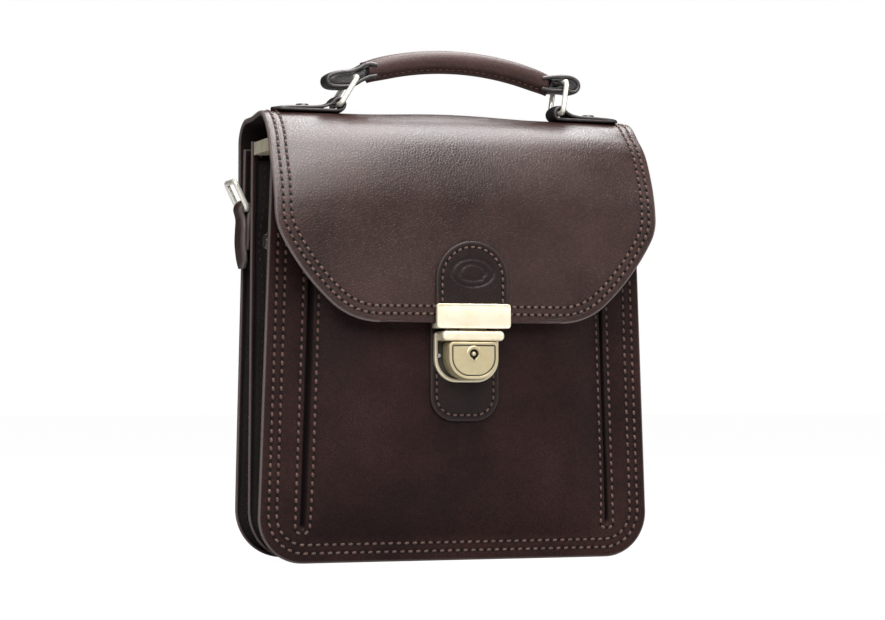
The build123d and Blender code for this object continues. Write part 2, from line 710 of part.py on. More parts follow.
with BuildPart() as lock_cylinder:
    with BuildSketch(Plane.XZ.offset(-(thumb_back_y - cam_wall - slide_gap))):
        with Locations((0, cylinder_z)):
            Circle(cylinder_radius)
    extrude(amount=thumb_reach - cam_wall - slide_gap - cylinder_sink)
    chamfer(lock_cylinder.faces().sort_by(Axis.Y)[0].edges(), cylinder_chamfer)
    with BuildSketch(Plane.XZ.offset(-thumb_front_y)):
        with Locations((0, cylinder_z)):
            Circle(key_hole_radius)
        with Locations((0, cylinder_z - key_slot_length / 2)):
            Rectangle(key_slot_width, key_slot_length)
    extrude(amount=-key_depth, mode=Mode.SUBTRACT)
save(lock_cylinder.part, "lock_cylinder")

with BuildPart() as lock_cam:
    with BuildSketch(Plane.XZ.offset(-(thumb_back_y - slide_gap))):
        with Locations((0, cylinder_z)):
            Circle(cam_hub)
        with Locations((cam_length / 2, cylinder_z)):
            Rectangle(cam_length, cam_width)
    extrude(amount=cam_wall)
save(lock_cam.part, "lock_cam")

with BuildPart() as catch_plate:
    with BuildSketch(Plane.XZ.offset(-patch_y)):
        Polygon((-catch_half, catch_foot), (catch_half, catch_foot), (catch_half, hasp_top),
                (-catch_half, hasp_top), align=None)
        with Locations((0, (striker_foot + striker_top) / 2)):
            Rectangle(2 * (striker_half + catch_window_gap[0]),
                      striker_top - striker_foot + 2 * catch_window_gap[1], mode=Mode.SUBTRACT)
    extrude(amount=catch_wall)
    extrude(lock_holes(patch_y), amount=catch_wall, mode=Mode.SUBTRACT)
save(catch_plate.part, "catch_plate")

with BuildPart() as lock_backplate:
    with BuildSketch(Plane.XZ.offset(-(pocket_y + pocket_wall))):
        Polygon((-backplate_half, backplate_foot), (backplate_half, backplate_foot),
                (backplate_half, backplate_top), (-backplate_half, backplate_top), align=None)
    extrude(amount=-backplate_wall)
    extrude(lock_holes(pocket_y + pocket_wall + backplate_wall), amount=backplate_wall,
            mode=Mode.SUBTRACT)
save(lock_backplate.part, "lock_backplate")

rivet_end_y = pocket_y + pocket_wall + backplate_wall
with BuildPart() as lock_rivets:
    for rivet_x, rivet_z, rivet_y in ((base_rivet_x, base_rivet_z, base_y),
                                      (catch_rivet_x, catch_rivet_z, patch_y - catch_wall)):
        with BuildSketch(Plane.XZ.offset(-rivet_end_y)):
            with Locations((rivet_x, rivet_z), (-rivet_x, rivet_z)):
                Circle(lock_rivet_radius)
        extrude(amount=rivet_end_y - rivet_y)
        with BuildSketch(Plane.XZ.offset(-rivet_end_y)):
            with Locations((rivet_x, rivet_z), (-rivet_x, rivet_z)):
                Circle(lock_rivet_head)
        extrude(amount=-small_head_height)
save(lock_rivets.part, "lock_rivets")

# ---------------------------------------------------------------- handle
for side, label in ((-1, "left"), (1, "right")):
    with BuildPart() as handle_strap:
        with BuildSketch(Plane.XZ.offset(strap_width / 2 - handle_y)):
            with Locations((side * ring_pivot_x, ring_pivot_z)):
                Circle(strap_loop)
            Polygon((side * ring_pivot_x, ring_pivot_z - strap_loop),
                    (side * strap_end_x, ring_pivot_z - strap_loop),
                    (side * strap_end_x, ring_pivot_z - strap_loop + strap_wall),
                    (side * (ring_pivot_x + strap_throat[1]),
                     ring_pivot_z - strap_loop + strap_wall),
                    (side * (ring_pivot_x + strap_throat[0]),
                     ring_pivot_z + strap_loop * cos(asin(strap_throat[0] / strap_loop))),
                    align=None)
            with Locations((side * ring_pivot_x, ring_pivot_z)):
                Circle(ring_wire + bar_gap, mode=Mode.SUBTRACT)
        extrude(amount=-strap_width)
        with Locations((side * strap_rivet_x, handle_y, crown_z)):
            Cylinder(strap_rivet_radius, 6 * strap_wall, mode=Mode.SUBTRACT)
    save(handle_strap.part, "handle_strap_" + label)

strap_top_z = ring_pivot_z - strap_loop + strap_wall
plate_top_z = crown_z - flap_wall - plate_gap
with BuildPart() as handle_plate:
    with BuildSketch(Plane.XY.offset(plate_top_z)):
        with Locations((0, plate_y)):
            Rectangle(2 * (strap_end_x - plate_length_margin), plate_depth)
        with Locations(*strap_holes):
            Circle(strap_rivet_radius, mode=Mode.SUBTRACT)
    extrude(amount=-plate_wall)
save(handle_plate.part, "handle_plate")

with BuildPart() as strap_rivets:
    with BuildSketch(Plane.XY.offset(plate_top_z - plate_wall)):
        with Locations(*strap_holes):
            Circle(strap_rivet_radius)
    extrude(amount=strap_top_z - plate_top_z + plate_wall)
    with BuildSketch(Plane.XY.offset(strap_top_z)):
        with Locations(*strap_holes):
            Circle(strap_rivet_head)
    extrude(amount=head_height, taper=head_slope)
    with BuildSketch(Plane.XY.offset(plate_top_z - plate_wall)):
        with Locations(*strap_holes):
            Circle(strap_rivet_foot)
    extrude(amount=-foot_height)
save(strap_rivets.part, "strap_rivets")

ring_left = bent_ring(-ring_pivot_x, handle_y, ring_pivot_z, left_lean, ring_width, ring_length)
save(ring_left, "ring_left")
ring_right = bent_ring(ring_pivot_x, handle_y, ring_pivot_z, right_lean, ring_width, ring_length)
save(ring_right, "ring_right")


def grip_line():
    """The grip's middle line: one arc over its two ends and its peak."""
    ThreePointArc((grip_left_x, handle_y, grip_left_z), (grip_peak_x, handle_y, grip_peak_z),
                  (grip_right_x, handle_y, grip_right_z))


with BuildPart() as grip_cover:
    with BuildLine() as grip_path:
        grip_line()
    with BuildSketch(Plane(origin=grip_path.line @ 0, z_dir=grip_path.line % 0)):
        Circle(grip_radius)
        Circle(grip_core, mode=Mode.SUBTRACT)
    sweep(path=grip_path.line)
save(grip_cover.part, "grip_cover")

with BuildPart() as grip_rope:
    with BuildLine() as rope_path:
        grip_line()
    with BuildSketch(Plane(origin=rope_path.line @ 0, z_dir=rope_path.line % 0)):
        Circle(grip_core)
    sweep(path=rope_path.line)
save(grip_rope.part, "grip_rope")

grip_solid = grip_cover.part + grip_rope.part
for side, label, pivot, gap, reach, grip_x, grip_z in (
        (-1, "left", ring_left_top, bar_gap, grip_loop_reach[0], grip_left_x, grip_left_z),
        (1, "right", ring_right_top, open_pivot_gap, grip_loop_reach[1], grip_right_x,
         grip_right_z)):
    with BuildPart() as handle_loop:
        inner_x = grip_x - side * grip_loop_overlap
        top_z = grip_z + grip_radius - grip_loop_edge
        foot_z = grip_z - grip_radius + grip_loop_edge
        upper_end = (pivot[0] + side * 2.0, pivot[1] + grip_loop)
        lower_end = (pivot[0] + side * 3.0, pivot[1] - grip_loop)
        with BuildSketch(Plane.XZ.offset(grip_loop_width / 2 - handle_y)):
            with BuildLine():
                Line((inner_x, top_z), upper_end)
                ThreePointArc(upper_end, (pivot[0] + side * reach, pivot[1] - 1.0), lower_end)
                Line(lower_end, (inner_x, foot_z))
                Line((inner_x, foot_z), (inner_x, top_z))
            make_face()
            with Locations(pivot):
                Circle(ring_wire + gap, mode=Mode.SUBTRACT)
        extrude(amount=-grip_loop_width)
        add(grip_solid, mode=Mode.SUBTRACT)
    save(handle_loop.part, "handle_loop_" + label)

# ---------------------------------------------------------------- side rings and their tabs
gusset_face_x = (front_half + rear_half) / 2 - gusset_recess
gusset_slope = ((front_half + rear_half) - (front_top_half + rear_top_half)) / 2 / gusset_height
tab_inner_x = gusset_face_x - gusset_slope * side_tab_foot + slide_gap
tab_cover_x = rear_edge(side_tab_foot) + slide_gap
for side, label in ((-1, "left"), (1, "right")):
    with BuildPart() as side_tab:
        with BuildSketch(Plane.XZ.offset(side_tab_width / 2 - side_y)):
            Polygon((side * tab_inner_x, side_tab_foot), (side * tab_cover_x, side_tab_foot),
                    (side * tab_cover_x, side_pivot_z - side_tab_loop - 2 * slide_gap),
                    (side * tab_inner_x, side_pivot_z - side_tab_loop - 2 * slide_gap),
                    align=None)
        extrude(amount=-side_tab_width)
        with BuildSketch(Plane.XZ.offset(side_tab_cover / 2 - side_y)):
            Polygon((side * tab_cover_x, side_tab_foot),
                    (side * (tab_cover_x + side_tab_wall), side_tab_foot),
                    (side * (tab_cover_x + side_tab_wall), side_pivot_z - side_tab_loop),
                    (side * tab_cover_x, side_pivot_z - side_tab_loop), align=None)
        extrude(amount=-side_tab_cover)
        with BuildSketch(Plane.XZ.offset(side_tab_width / 2 - side_y)):
            Polygon((side * tab_cover_x, side_pivot_z - side_tab_neck),
                    (side * (tab_cover_x + side_tab_wall), side_pivot_z - side_tab_neck),
                    (side * (side_pivot_x + side_tab_loop - 0.4), side_pivot_z),
                    (side * (side_pivot_x - side_tab_loop + 0.4), side_pivot_z), align=None)
            with Locations((side * side_pivot_x, side_pivot_z)):
                Circle(side_tab_loop)
                Circle(ring_wire + bar_gap, mode=Mode.SUBTRACT)
        extrude(amount=-side_tab_width)
        with Locations((side * (tab_cover_x + side_tab_wall), side_y, side_rivet_z)):
            Cylinder(side_rivet_radius, 8 * gusset_recess, rotation=(0, 90, 0),
                     mode=Mode.SUBTRACT)
    save(side_tab.part, "side_tab_" + label)
    side_ring = bent_ring(side * side_pivot_x, side_y, side_pivot_z, side * side_ring_lean,
                          side_ring_width, side_ring_length)
    save(side_ring, "side_ring_" + label)

with BuildPart() as side_rivets:
    for side in (-1, 1):
        outer_x = tab_cover_x + side_tab_wall
        inner_x = gusset_face_x - gusset_slope * side_rivet_z - gusset_wall - foot_gap
        with BuildSketch(Plane.YZ.offset(side * inner_x)):
            with Locations((side_y, side_rivet_z)):
                Circle(side_rivet_radius)
        extrude(amount=side * (outer_x - inner_x))
        with BuildSketch(Plane.YZ.offset(side * outer_x)):
            with Locations((side_y, side_rivet_z)):
                Circle(side_rivet_head)
        extrude(amount=side * head_height, taper=head_slope)
        with BuildSketch(Plane.YZ.offset(side * inner_x)):
            with Locations((side_y, side_rivet_z)):
                Circle(side_rivet_foot)
        extrude(amount=-side * foot_height)
save(side_rivets.part, "side_rivets")

with BuildPart() as gusset_snaps:
    for side in (-1, 1):
        outer_x = gusset_face_x - gusset_slope * snap_z + slide_gap
        inner_x = outer_x - slide_gap - gusset_wall - foot_gap
        with BuildSketch(Plane.YZ.offset(side * inner_x)):
            with Locations((snap_y, snap_z)):
                Circle(side_rivet_radius)
        extrude(amount=side * (outer_x - inner_x))
        with BuildSketch(Plane.YZ.offset(side * outer_x)):
            with Locations((snap_y, snap_z)):
                Circle(snap_head)
        extrude(amount=side * snap_height, taper=snap_slope)
        with BuildSketch(Plane.YZ.offset(side * inner_x)):
            with Locations((snap_y, snap_z)):
                Circle(snap_foot)
        extrude(amount=-side * foot_height)
save(gusset_snaps.part, "gusset_snaps")

# ---------------------------------------------------------------- zip
tape_mid_z = zip_z + tape_wall / 2
divider_y = divider_foot_y + tan(lean) * zip_z
with BuildPart() as zip_tapes:
    with BuildSketch(Plane.XY.offset(zip_z)):
        with Locations((0, (front_inner + zip_y - teeth_gap - teeth_reach) / 2)):
            Rectangle(2 * tape_half, zip_y - teeth_gap - teeth_reach - front_inner)
        with Locations((0, (divider_y + zip_y + teeth_gap + teeth_reach) / 2)):
            Rectangle(2 * tape_half, divider_y - zip_y - teeth_gap - teeth_reach)
    extrude(amount=tape_wall)
save(zip_tapes.part, "zip_tapes")

teeth_count = int(2 * (tape_half - zip_cap_length) / teeth_pitch)
for side, label in ((-1, "front"), (1, "rear")):
    with BuildPart() as teeth_row:
        spine_y = zip_y + side * (teeth_gap + teeth_reach - teeth_spine / 2)
        with Locations((0, spine_y, tape_mid_z)):
            Box(teeth_count * teeth_pitch, teeth_spine, teeth_height)
        tooth_y = zip_y + side * (teeth_gap + tooth_depth / 2)
        with Locations((side * teeth_pitch / 4, tooth_y, tape_mid_z)):
            with GridLocations(teeth_pitch, tooth_depth, teeth_count - 1, 1):
                Box(teeth_pitch / 2, tooth_depth, teeth_height)
    save(teeth_row.part, "zip_teeth_" + label)

with BuildPart() as zip_end_caps:
    for side in (-1, 1):
        cap_x = side * (zip_cap_half - zip_cap_length / 2)
        cap_front_y = front_inner + zip_cap_margins[0]
        cap_rear_y = divider_y - zip_cap_margins[1]
        with Locations((cap_x, (cap_front_y + cap_rear_y) / 2, tape_mid_z)):
            Box(zip_cap_length, cap_rear_y - cap_front_y, zip_cap_height)
        with Locations((cap_x - side * zip_cap_wall, zip_y, tape_mid_z)):
            Box(zip_cap_length, 2 * (divider_y - front_inner), teeth_height,
                mode=Mode.SUBTRACT)
save(zip_end_caps.part, "zip_end_caps")

slider_top_z = tape_mid_z + teeth_height / 2 + slide_gap + slider_plate
pull_pivot_z = slider_top_z + pull_rise
with BuildPart() as zip_slider:
    with Locations((zip_slider_x, zip_y, tape_mid_z)):
        Box(zip_slider_length, 2 * slider_web, teeth_height + 4 * slide_gap)
    for side in (-1, 1):
        with Locations((zip_slider_x, zip_y,
                        tape_mid_z + side * (teeth_height / 2 + slide_gap + slider_plate / 2))):
            Box(zip_slider_length, 2 * zip_slider_half, slider_plate)
    fillet(zip_slider.edges().filter_by(Axis.Z).group_by(Axis.Y)[0], zip_slider_corner)
    fillet(zip_slider.edges().filter_by(Axis.Z).group_by(Axis.Y)[-1], zip_slider_corner)
    with BuildSketch(Plane.XZ.offset(pull_eye_width / 2 - zip_y)):
        with Locations((zip_slider_x, pull_pivot_z)):
            Circle(pull_eye)
        with Locations((zip_slider_x, (slider_top_z + pull_pivot_z) / 2)):
            Rectangle(2 * pull_eye, pull_rise)
        with Locations((zip_slider_x, pull_pivot_z)):
            Circle(pull_pin + turn_gap, mode=Mode.SUBTRACT)
    extrude(amount=-pull_eye_width)
save(zip_slider.part, "zip_slider")

window_half = pull_eye + pull_window_gap
with BuildPart() as zip_pull:
    with BuildSketch(Plane.XY.offset(pull_pivot_z - zip_pull_wall / 2)):
        with Locations((zip_slider_x + zip_pull_length / 2 - window_half - pull_end_band, zip_y)):
            RectangleRounded(zip_pull_length, zip_pull_width, zip_pull_corner)
        with Locations((zip_slider_x, zip_y)):
            Rectangle(2 * window_half, pull_window_width, mode=Mode.SUBTRACT)
    extrude(amount=zip_pull_wall)
    with Locations((zip_slider_x, zip_y, pull_pivot_z)):
        Cylinder(pull_pin, pull_pin_length, rotation=(90, 0, 0))
save(zip_pull.part, "zip_pull")
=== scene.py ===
import bmesh
import bpy
import numpy as np
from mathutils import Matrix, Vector


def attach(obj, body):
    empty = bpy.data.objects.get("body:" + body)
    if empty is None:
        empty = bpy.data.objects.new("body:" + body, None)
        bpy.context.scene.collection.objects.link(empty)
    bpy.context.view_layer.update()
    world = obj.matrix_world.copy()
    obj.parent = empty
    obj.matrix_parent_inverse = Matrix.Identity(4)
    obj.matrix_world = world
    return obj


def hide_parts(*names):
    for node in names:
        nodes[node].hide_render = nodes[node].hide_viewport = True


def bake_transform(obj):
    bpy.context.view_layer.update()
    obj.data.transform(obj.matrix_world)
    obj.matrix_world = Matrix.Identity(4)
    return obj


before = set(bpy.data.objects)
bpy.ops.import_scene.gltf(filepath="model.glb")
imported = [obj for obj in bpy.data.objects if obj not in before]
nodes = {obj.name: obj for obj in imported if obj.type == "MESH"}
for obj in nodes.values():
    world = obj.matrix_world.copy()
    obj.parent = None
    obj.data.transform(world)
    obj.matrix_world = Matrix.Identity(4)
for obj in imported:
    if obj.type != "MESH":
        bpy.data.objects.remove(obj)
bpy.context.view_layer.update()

# ---------------------------------------------------------------- studio
# A pale table under a softbox that hangs above the bag, with a larger one high in front
# and a narrow dim fill at each side. The wall and the table are kept nearly white.
lens_place = Vector((-0.4706, -1.3090, 0.0924))
lens_turn = np.radians(20.0) - 0.00611943582
lens_lift = 0.0336370963
look = Vector((np.sin(lens_turn) * np.cos(lens_lift), np.cos(lens_turn) * np.cos(lens_lift),
               np.sin(lens_lift)))
camera_data = bpy.data.cameras.new("studio_camera")
camera_data.lens = 100.716
camera_data.sensor_width = 36.0
camera_data.clip_start = 0.01
camera = bpy.data.objects.new("studio_camera", camera_data)
camera.location = lens_place
camera.rotation_euler = look.to_track_quat("-Z", "Y").to_euler()
bpy.context.collection.objects.link(camera)
bpy.context.scene.camera = camera
bpy.context.scene.view_settings.view_transform = "Standard"


def hang_softbox(name, place, aim, width, height, watts):
    """A rectangular lamp at place, facing aim."""
    lamp = bpy.data.lights.new(name, "AREA")
    lamp.shape = "RECTANGLE"
    lamp.size = width
    lamp.size_y = height
    lamp.energy = watts
    softbox = bpy.data.objects.new(name, lamp)
    softbox.location = place
    softbox.rotation_euler = (Vector(aim) - Vector(place)).to_track_quat("-Z", "Y").to_euler()
    bpy.context.collection.objects.link(softbox)


hang_softbox("top_softbox", (0.14, -0.04, 1.0), (0.04, 0.0, 0.2), 1.3, 0.5, 25.0)
hang_softbox("front_softbox", (-0.35, -1.35, 1.15), (0.0, 0.0, 0.15), 1.6, 1.2, 34.0)
hang_softbox("left_fill", (-1.2, -0.9, 0.75), (0.0, 0.0, 0.2), 0.3, 0.6, 3.5)
hang_softbox("right_fill", (1.2, -0.8, 0.6), (0.0, 0.0, 0.15), 0.4, 0.7, 5.0)


def fill_inputs(tree, node, **values):
    """Sets a node's inputs; a value that is a socket is linked, and _0, _1 count inputs."""
    for key, value in values.items():
        socket = node.inputs[int(key[1:])] if key[0] == "_" else node.inputs[key.replace("_", " ")]
        if isinstance(value, bpy.types.NodeSocket):
            tree.links.new(value, socket)
        else:
            socket.default_value = value


def add_node(tree, kind, settings=None, **values):
    """A new node with its settings and its inputs."""
    node = tree.nodes.new(kind)
    for key, value in (settings or {}).items():
        setattr(node, key, value)
    fill_inputs(tree, node, **values)
    return node


def seen_by_camera(tree):
    """1 where the camera sees the surface or the wall directly, and 0 for every other ray."""
    return add_node(tree, "ShaderNodeLightPath").outputs["Is Camera Ray"]


room = bpy.data.worlds.new("white_room")
room.use_nodes = True
room_tree = room.node_tree
room_light = room_tree.nodes["Background"]
fill_inputs(room_tree, room_light, Color=(1.0, 0.97, 0.95, 1.0), Strength=0.07)
wall_white = add_node(room_tree, "ShaderNodeBackground", None, Color=(1.0, 1.0, 1.0, 1.0))
room_mix = add_node(room_tree, "ShaderNodeMixShader", None, _0=seen_by_camera(room_tree),
                    _1=room_light.outputs[0], _2=wall_white.outputs[0])
room_tree.links.new(room_mix.outputs[0], room_tree.nodes["World Output"].inputs["Surface"])
bpy.context.scene.world = room

table_reach = 9.0
table_corners = [(-table_reach, -table_reach, 0), (table_reach, -table_reach, 0),
                 (table_reach, table_reach, 0), (-table_reach, table_reach, 0)]
table_mesh = bpy.data.meshes.new("table_top")
table_mesh.from_pydata(table_corners, [], [(0, 1, 2, 3)])
table_top = bpy.data.objects.new("table_top", table_mesh)
bpy.context.collection.objects.link(table_top)
table_paint = bpy.data.materials.new("table_paint")
table_paint.use_nodes = True
table_tree = table_paint.node_tree
table_matt = table_tree.nodes["Principled BSDF"]
fill_inputs(table_tree, table_matt, Base_Color=(0.4, 0.4, 0.4, 1.0), Roughness=0.9)
table_glow = add_node(table_tree, "ShaderNodeEmission", None, Color=(1.0, 1.0, 1.0, 1.0),
                      Strength=1.14)
glow_share = add_node(table_tree, "ShaderNodeMath", {"operation": "MULTIPLY"},
                      _0=seen_by_camera(table_tree), _1=0.86)
table_mix = add_node(table_tree, "ShaderNodeMixShader", None, _0=glow_share.outputs[0],
                     _1=table_matt.outputs[0], _2=table_glow.outputs[0])
table_tree.links.new(table_mix.outputs[0], table_tree.nodes["Material Output"].inputs["Surface"])
table_mesh.materials.append(table_paint)

# ---------------------------------------------------------------- front panel
# Calf leather over thin board, cut with round lower corners, its rim painted. The middle
# is moulded forward between two slits that open into the front pocket.
front_foot_half = 115.0
front_top_half = 107.0
front_height = 232.0
front_corner = 26.0
front_wall = 3.0
front_rim_y = -16.0
front_rise = 10.0
slit_inset = 24.6
slit_foot = 20.0
slit_top = 206.0
front_seams = (5.4, 10.0)
slit_seams = (20.6, 28.6)
pocket_seam_foot = 16.5
edge_radius = 1.1
foot_reach = 42.0
top_reach = 6.0
plain_rows = 42
plain_columns = 20
swell_foot = 13.0
swell_top = 226.0
chocolate = (0.0066, 0.0023, 0.0021)
chocolate_worn = (0.031, 0.0122, 0.0108)
rim_paint = (0.12, 0.096, 0.09)
front_sides = (front_foot_half, front_top_half, front_height)
front_shape = (*front_sides, front_corner)


def reckon(tree, operation, first, second=0.0, third=0.0):
    """The output of one Math node."""
    node = add_node(tree, "ShaderNodeMath", {"operation": operation}, _0=first, _1=second, _2=third)
    return node.outputs[0]


def tint(tree, share, under, over):
    """One colour laid over another by a share from 0 to 1."""
    node = add_node(tree, "ShaderNodeMix", {"data_type": "RGBA"}, _0=share, _6=under, _7=over)
    return node.outputs[2]


def spread(tree, value, low, high, new_low=0.0, new_high=1.0):
    """The value moved from one range to another and held inside it."""
    node = add_node(tree, "ShaderNodeMapRange", {"clamp": True}, _0=value, _1=low, _2=high,
                    _3=new_low, _4=new_high)
    return node.outputs[0]


def new_group(name, inputs, outputs):
    """An empty node group with float or vector inputs and float outputs."""
    group = bpy.data.node_groups.new(name, "ShaderNodeTree")
    for label, kind in inputs:
        group.interface.new_socket(name=label, in_out="INPUT", socket_type=kind)
    for label in outputs:
        group.interface.new_socket(name=label, in_out="OUTPUT", socket_type="NodeSocketFloat")
    return group, group.nodes.new("NodeGroupInput").outputs, group.nodes.new("NodeGroupOutput").inputs


# Pebble grain: shrunken cells with valleys between them, fine pores, and long soft creases.
pebble_grain, grain_in, grain_out = new_group(
    "pebble_grain", [("Vector", "NodeSocketVector"), ("Cells", "NodeSocketFloat"),
                     ("Creases", "NodeSocketFloat")], ["Height", "Valleys"])
bent = add_node(pebble_grain, "ShaderNodeTexNoise", None, Vector=grain_in["Vector"], Scale=160.0,
                Detail=2.0)
bent_by = add_node(pebble_grain, "ShaderNodeVectorMath", {"operation": "SCALE"},
                   _0=bent.outputs["Color"], Scale=0.0016)
bent_place = add_node(pebble_grain, "ShaderNodeVectorMath", {"operation": "ADD"},
                      _0=grain_in["Vector"], _1=bent_by.outputs[0])
cells = add_node(pebble_grain, "ShaderNodeTexVoronoi", {"feature": "DISTANCE_TO_EDGE"},
                 Vector=bent_place.outputs[0], Scale=grain_in["Cells"])
cell_top = spread(pebble_grain, cells.outputs["Distance"], 0.0, 0.32)
pores = add_node(pebble_grain, "ShaderNodeTexNoise", None, Vector=grain_in["Vector"], Scale=2600.0,
                 Detail=2.0)
folds = add_node(pebble_grain, "ShaderNodeTexNoise", None, Vector=grain_in["Vector"], Scale=46.0,
                 Detail=3.0, Distortion=1.4)
fold_line = reckon(pebble_grain, "ABSOLUTE",
                   reckon(pebble_grain, "SUBTRACT", folds.outputs[0], 0.5))
fold_dip = reckon(pebble_grain, "MULTIPLY", spread(pebble_grain, fold_line, 0.0, 0.035, 1.0, 0.0),
                  grain_in["Creases"])
pore_height = reckon(pebble_grain, "MULTIPLY", pores.outputs[0], 0.28)
grain_height = reckon(pebble_grain, "MULTIPLY_ADD", cell_top, 0.62, pore_height)
pebble_grain.links.new(reckon(pebble_grain, "SUBTRACT", grain_height, fold_dip), grain_out["Height"])
pebble_grain.links.new(spread(pebble_grain, cell_top, 0.0, 0.7, 1.0, 0.0), grain_out["Valleys"])

# Dye cloud: the uneven take-up of dye in broad patches, and a fine speckle.
dye_cloud, cloud_in, cloud_out = new_group(
    "dye_cloud", [("Vector", "NodeSocketVector"), ("Patches", "NodeSocketFloat")],
    ["Cloud", "Speckle"])
broad = add_node(dye_cloud, "ShaderNodeTexNoise", None, Vector=cloud_in["Vector"],
                 Scale=cloud_in["Patches"], Detail=5.0, Roughness=0.62)
fine_speck = add_node(dye_cloud, "ShaderNodeTexNoise", None, Vector=cloud_in["Vector"], Scale=520.0,
                      Detail=3.0)
dye_cloud.links.new(spread(dye_cloud, broad.outputs[0], 0.32, 0.68), cloud_out["Cloud"])
dye_cloud.links.new(spread(dye_cloud, fine_speck.outputs[0], 0.3, 0.7), cloud_out["Speckle"])


def new_material(name):
    """A node material, its tree, its Principled shader and the Object coordinates."""
    material = bpy.data.materials.new(name)
    material.use_nodes = True
    tree = material.node_tree
    place = add_node(tree, "ShaderNodeTexCoord").outputs["Object"]
    return material, tree, tree.nodes["Principled BSDF"], place


def mask(tree, label):
    """A mask that a piece keeps on its points: rim, seam, or the painted shade in hollows."""
    return add_node(tree, "ShaderNodeAttribute", {"attribute_name": label}).outputs["Fac"]


def part_of(colour, share=1.0):
    """A share of a colour, as red, green, blue and alpha."""
    return (*[share * part for part in colour], 1.0)


def leather(name, deep, worn, gloss=0.4, cells_per_metre=620.0, relief=0.5, creases=0.25,
            patches=17.0, shine=0.25, edge=rim_paint, sheen=0.5):
    """Dyed leather: cloud and speckle mix two browns, valleys and seams go darker, rims are painted, and
    hollows take a painted shade.
    """
    material, tree, shader, place = new_material(name)
    grain = add_node(tree, "ShaderNodeGroup", {"node_tree": pebble_grain}, Vector=place,
                     Cells=cells_per_metre, Creases=creases)
    cloud = add_node(tree, "ShaderNodeGroup", {"node_tree": dye_cloud}, Vector=place,
                     Patches=patches)
    at_rim, at_seam, at_hollow_shade = mask(tree, "rim"), mask(tree, "seam"), mask(tree, "hollow_shade")
    mix_share = reckon(tree, "MULTIPLY_ADD", cloud.outputs["Speckle"], 0.3,
                       reckon(tree, "MULTIPLY", cloud.outputs["Cloud"], 0.7))
    colour = tint(tree, mix_share, part_of(deep), part_of(worn))
    valley_share = reckon(tree, "MULTIPLY", grain.outputs["Valleys"], 0.45)
    colour = tint(tree, valley_share, colour, part_of(deep, 0.4))
    colour = tint(tree, reckon(tree, "MULTIPLY", at_seam, 0.4), colour, part_of(deep, 0.5))
    colour = tint(tree, at_rim, colour, part_of(edge))
    # Painted shade: hollows such as the slits and the gussets' fold are tinted nearly black.
    colour = tint(tree, at_hollow_shade, colour, (0.0012, 0.0009, 0.0009, 1.0))
    dullness = reckon(tree, "MULTIPLY_ADD", cloud.outputs["Cloud"], 0.1, gloss - 0.05)
    dullness = reckon(tree, "MULTIPLY_ADD", grain.outputs["Valleys"], 0.12, dullness)
    dullness = reckon(tree, "MULTIPLY_ADD", at_hollow_shade, 0.5, dullness)
    height = reckon(tree, "MULTIPLY_ADD", at_seam, -1.6, grain.outputs["Height"])
    bump = add_node(tree, "ShaderNodeBump", None, Strength=relief, Distance=0.00022, Height=height)
    fill_inputs(tree, shader, Base_Color=colour, Roughness=dullness, Normal=bump.outputs[0],
                Specular_IOR_Level=sheen, Coat_Weight=shine, Coat_Roughness=gloss * 0.85)
    return material


body_leather = leather("body_leather", chocolate, chocolate_worn, gloss=0.42, shine=0.0, sheen=0.12)


def grid_quads(rows, cols, first=0, joined=False):
    """Quads of a grid numbered row by row; joined closes each row into a ring."""
    row = np.arange(rows - 1)[:, None] * cols + first
    col = np.arange(cols if joined else cols - 1)[None, :]
    beyond = (col + 1) % cols
    return np.stack([row + col, row + beyond, row + cols + beyond, row + cols + col],
                    axis=-1).reshape(-1, 4)


def make_piece(name, points, faces, material, marks=None, closed=True, inner_faces=None,
               inner_material=None):
    """Millimetre points and faces become an object at the origin; marks are masks kept on points."""
    mesh = bpy.data.meshes.new(name)
    mesh.from_pydata((np.asarray(points, float).reshape(-1, 3) * 0.001).tolist(), [],
                     [list(face) for face in faces])
    mesh.materials.append(material)
    if inner_material is not None:
        mesh.materials.append(inner_material)
        picked = np.zeros(len(mesh.polygons), int)
        picked[inner_faces] = 1
        mesh.polygons.foreach_set("material_index", picked)
    for label, values in (marks or {}).items():
        layer = mesh.attributes.new(label, "FLOAT", "POINT")
        layer.data.foreach_set("value", np.clip(np.ravel(values), 0.0, 1.0).astype(np.float32))
    mesh.polygons.foreach_set("use_smooth", np.ones(len(mesh.polygons), bool))
    mesh.validate()
    if closed:
        turn_outward(mesh)
    piece = bpy.data.objects.new(name, mesh)
    bpy.context.collection.objects.link(piece)
    return piece


def turn_outward(mesh):
    """Recalculates the normals of a closed mesh so that they point out."""
    work = bmesh.new()
    work.from_mesh(mesh)
    bmesh.ops.recalc_face_normals(work, faces=work.faces)
    work.to_mesh(mesh)
    work.free()


def two_faced(outer, inner):
    """A sheet from its outer grid and its inner grid, with a band of quads round the rim."""
    rows, cols = outer.shape[:2]
    count = rows * cols
    points = np.concatenate([outer.reshape(-1, 3), inner.reshape(-1, 3)])
    ring = np.concatenate([np.arange(cols), np.arange(1, rows) * cols + cols - 1,
                           (rows - 1) * cols + np.arange(cols - 2, -1, -1),
                           np.arange(rows - 2, 0, -1) * cols])
    beyond = np.roll(ring, -1)
    band = np.stack([beyond, ring, ring + count, beyond + count], axis=1)
    faces = np.concatenate([grid_quads(rows, cols), grid_quads(rows, cols, count)[:, ::-1], band])
    return points, faces.tolist()


def spots_at(x, y, z):
    """Points from x, y and z, each an array or one value."""
    return np.stack(np.broadcast_arrays(x, y, z), axis=-1)


def run_along(line):
    """The distance travelled along a line at each of its points."""
    return np.concatenate([[0.0], np.cumsum(np.linalg.norm(np.diff(line, axis=0), axis=1))])


def smooth_step(value, low, high):
    """0 below low, 1 above high, and an S-shaped rise between them."""
    share = np.clip((value - low) / (high - low), 0.0, 1.0)
    return share * share * (3.0 - 2.0 * share)


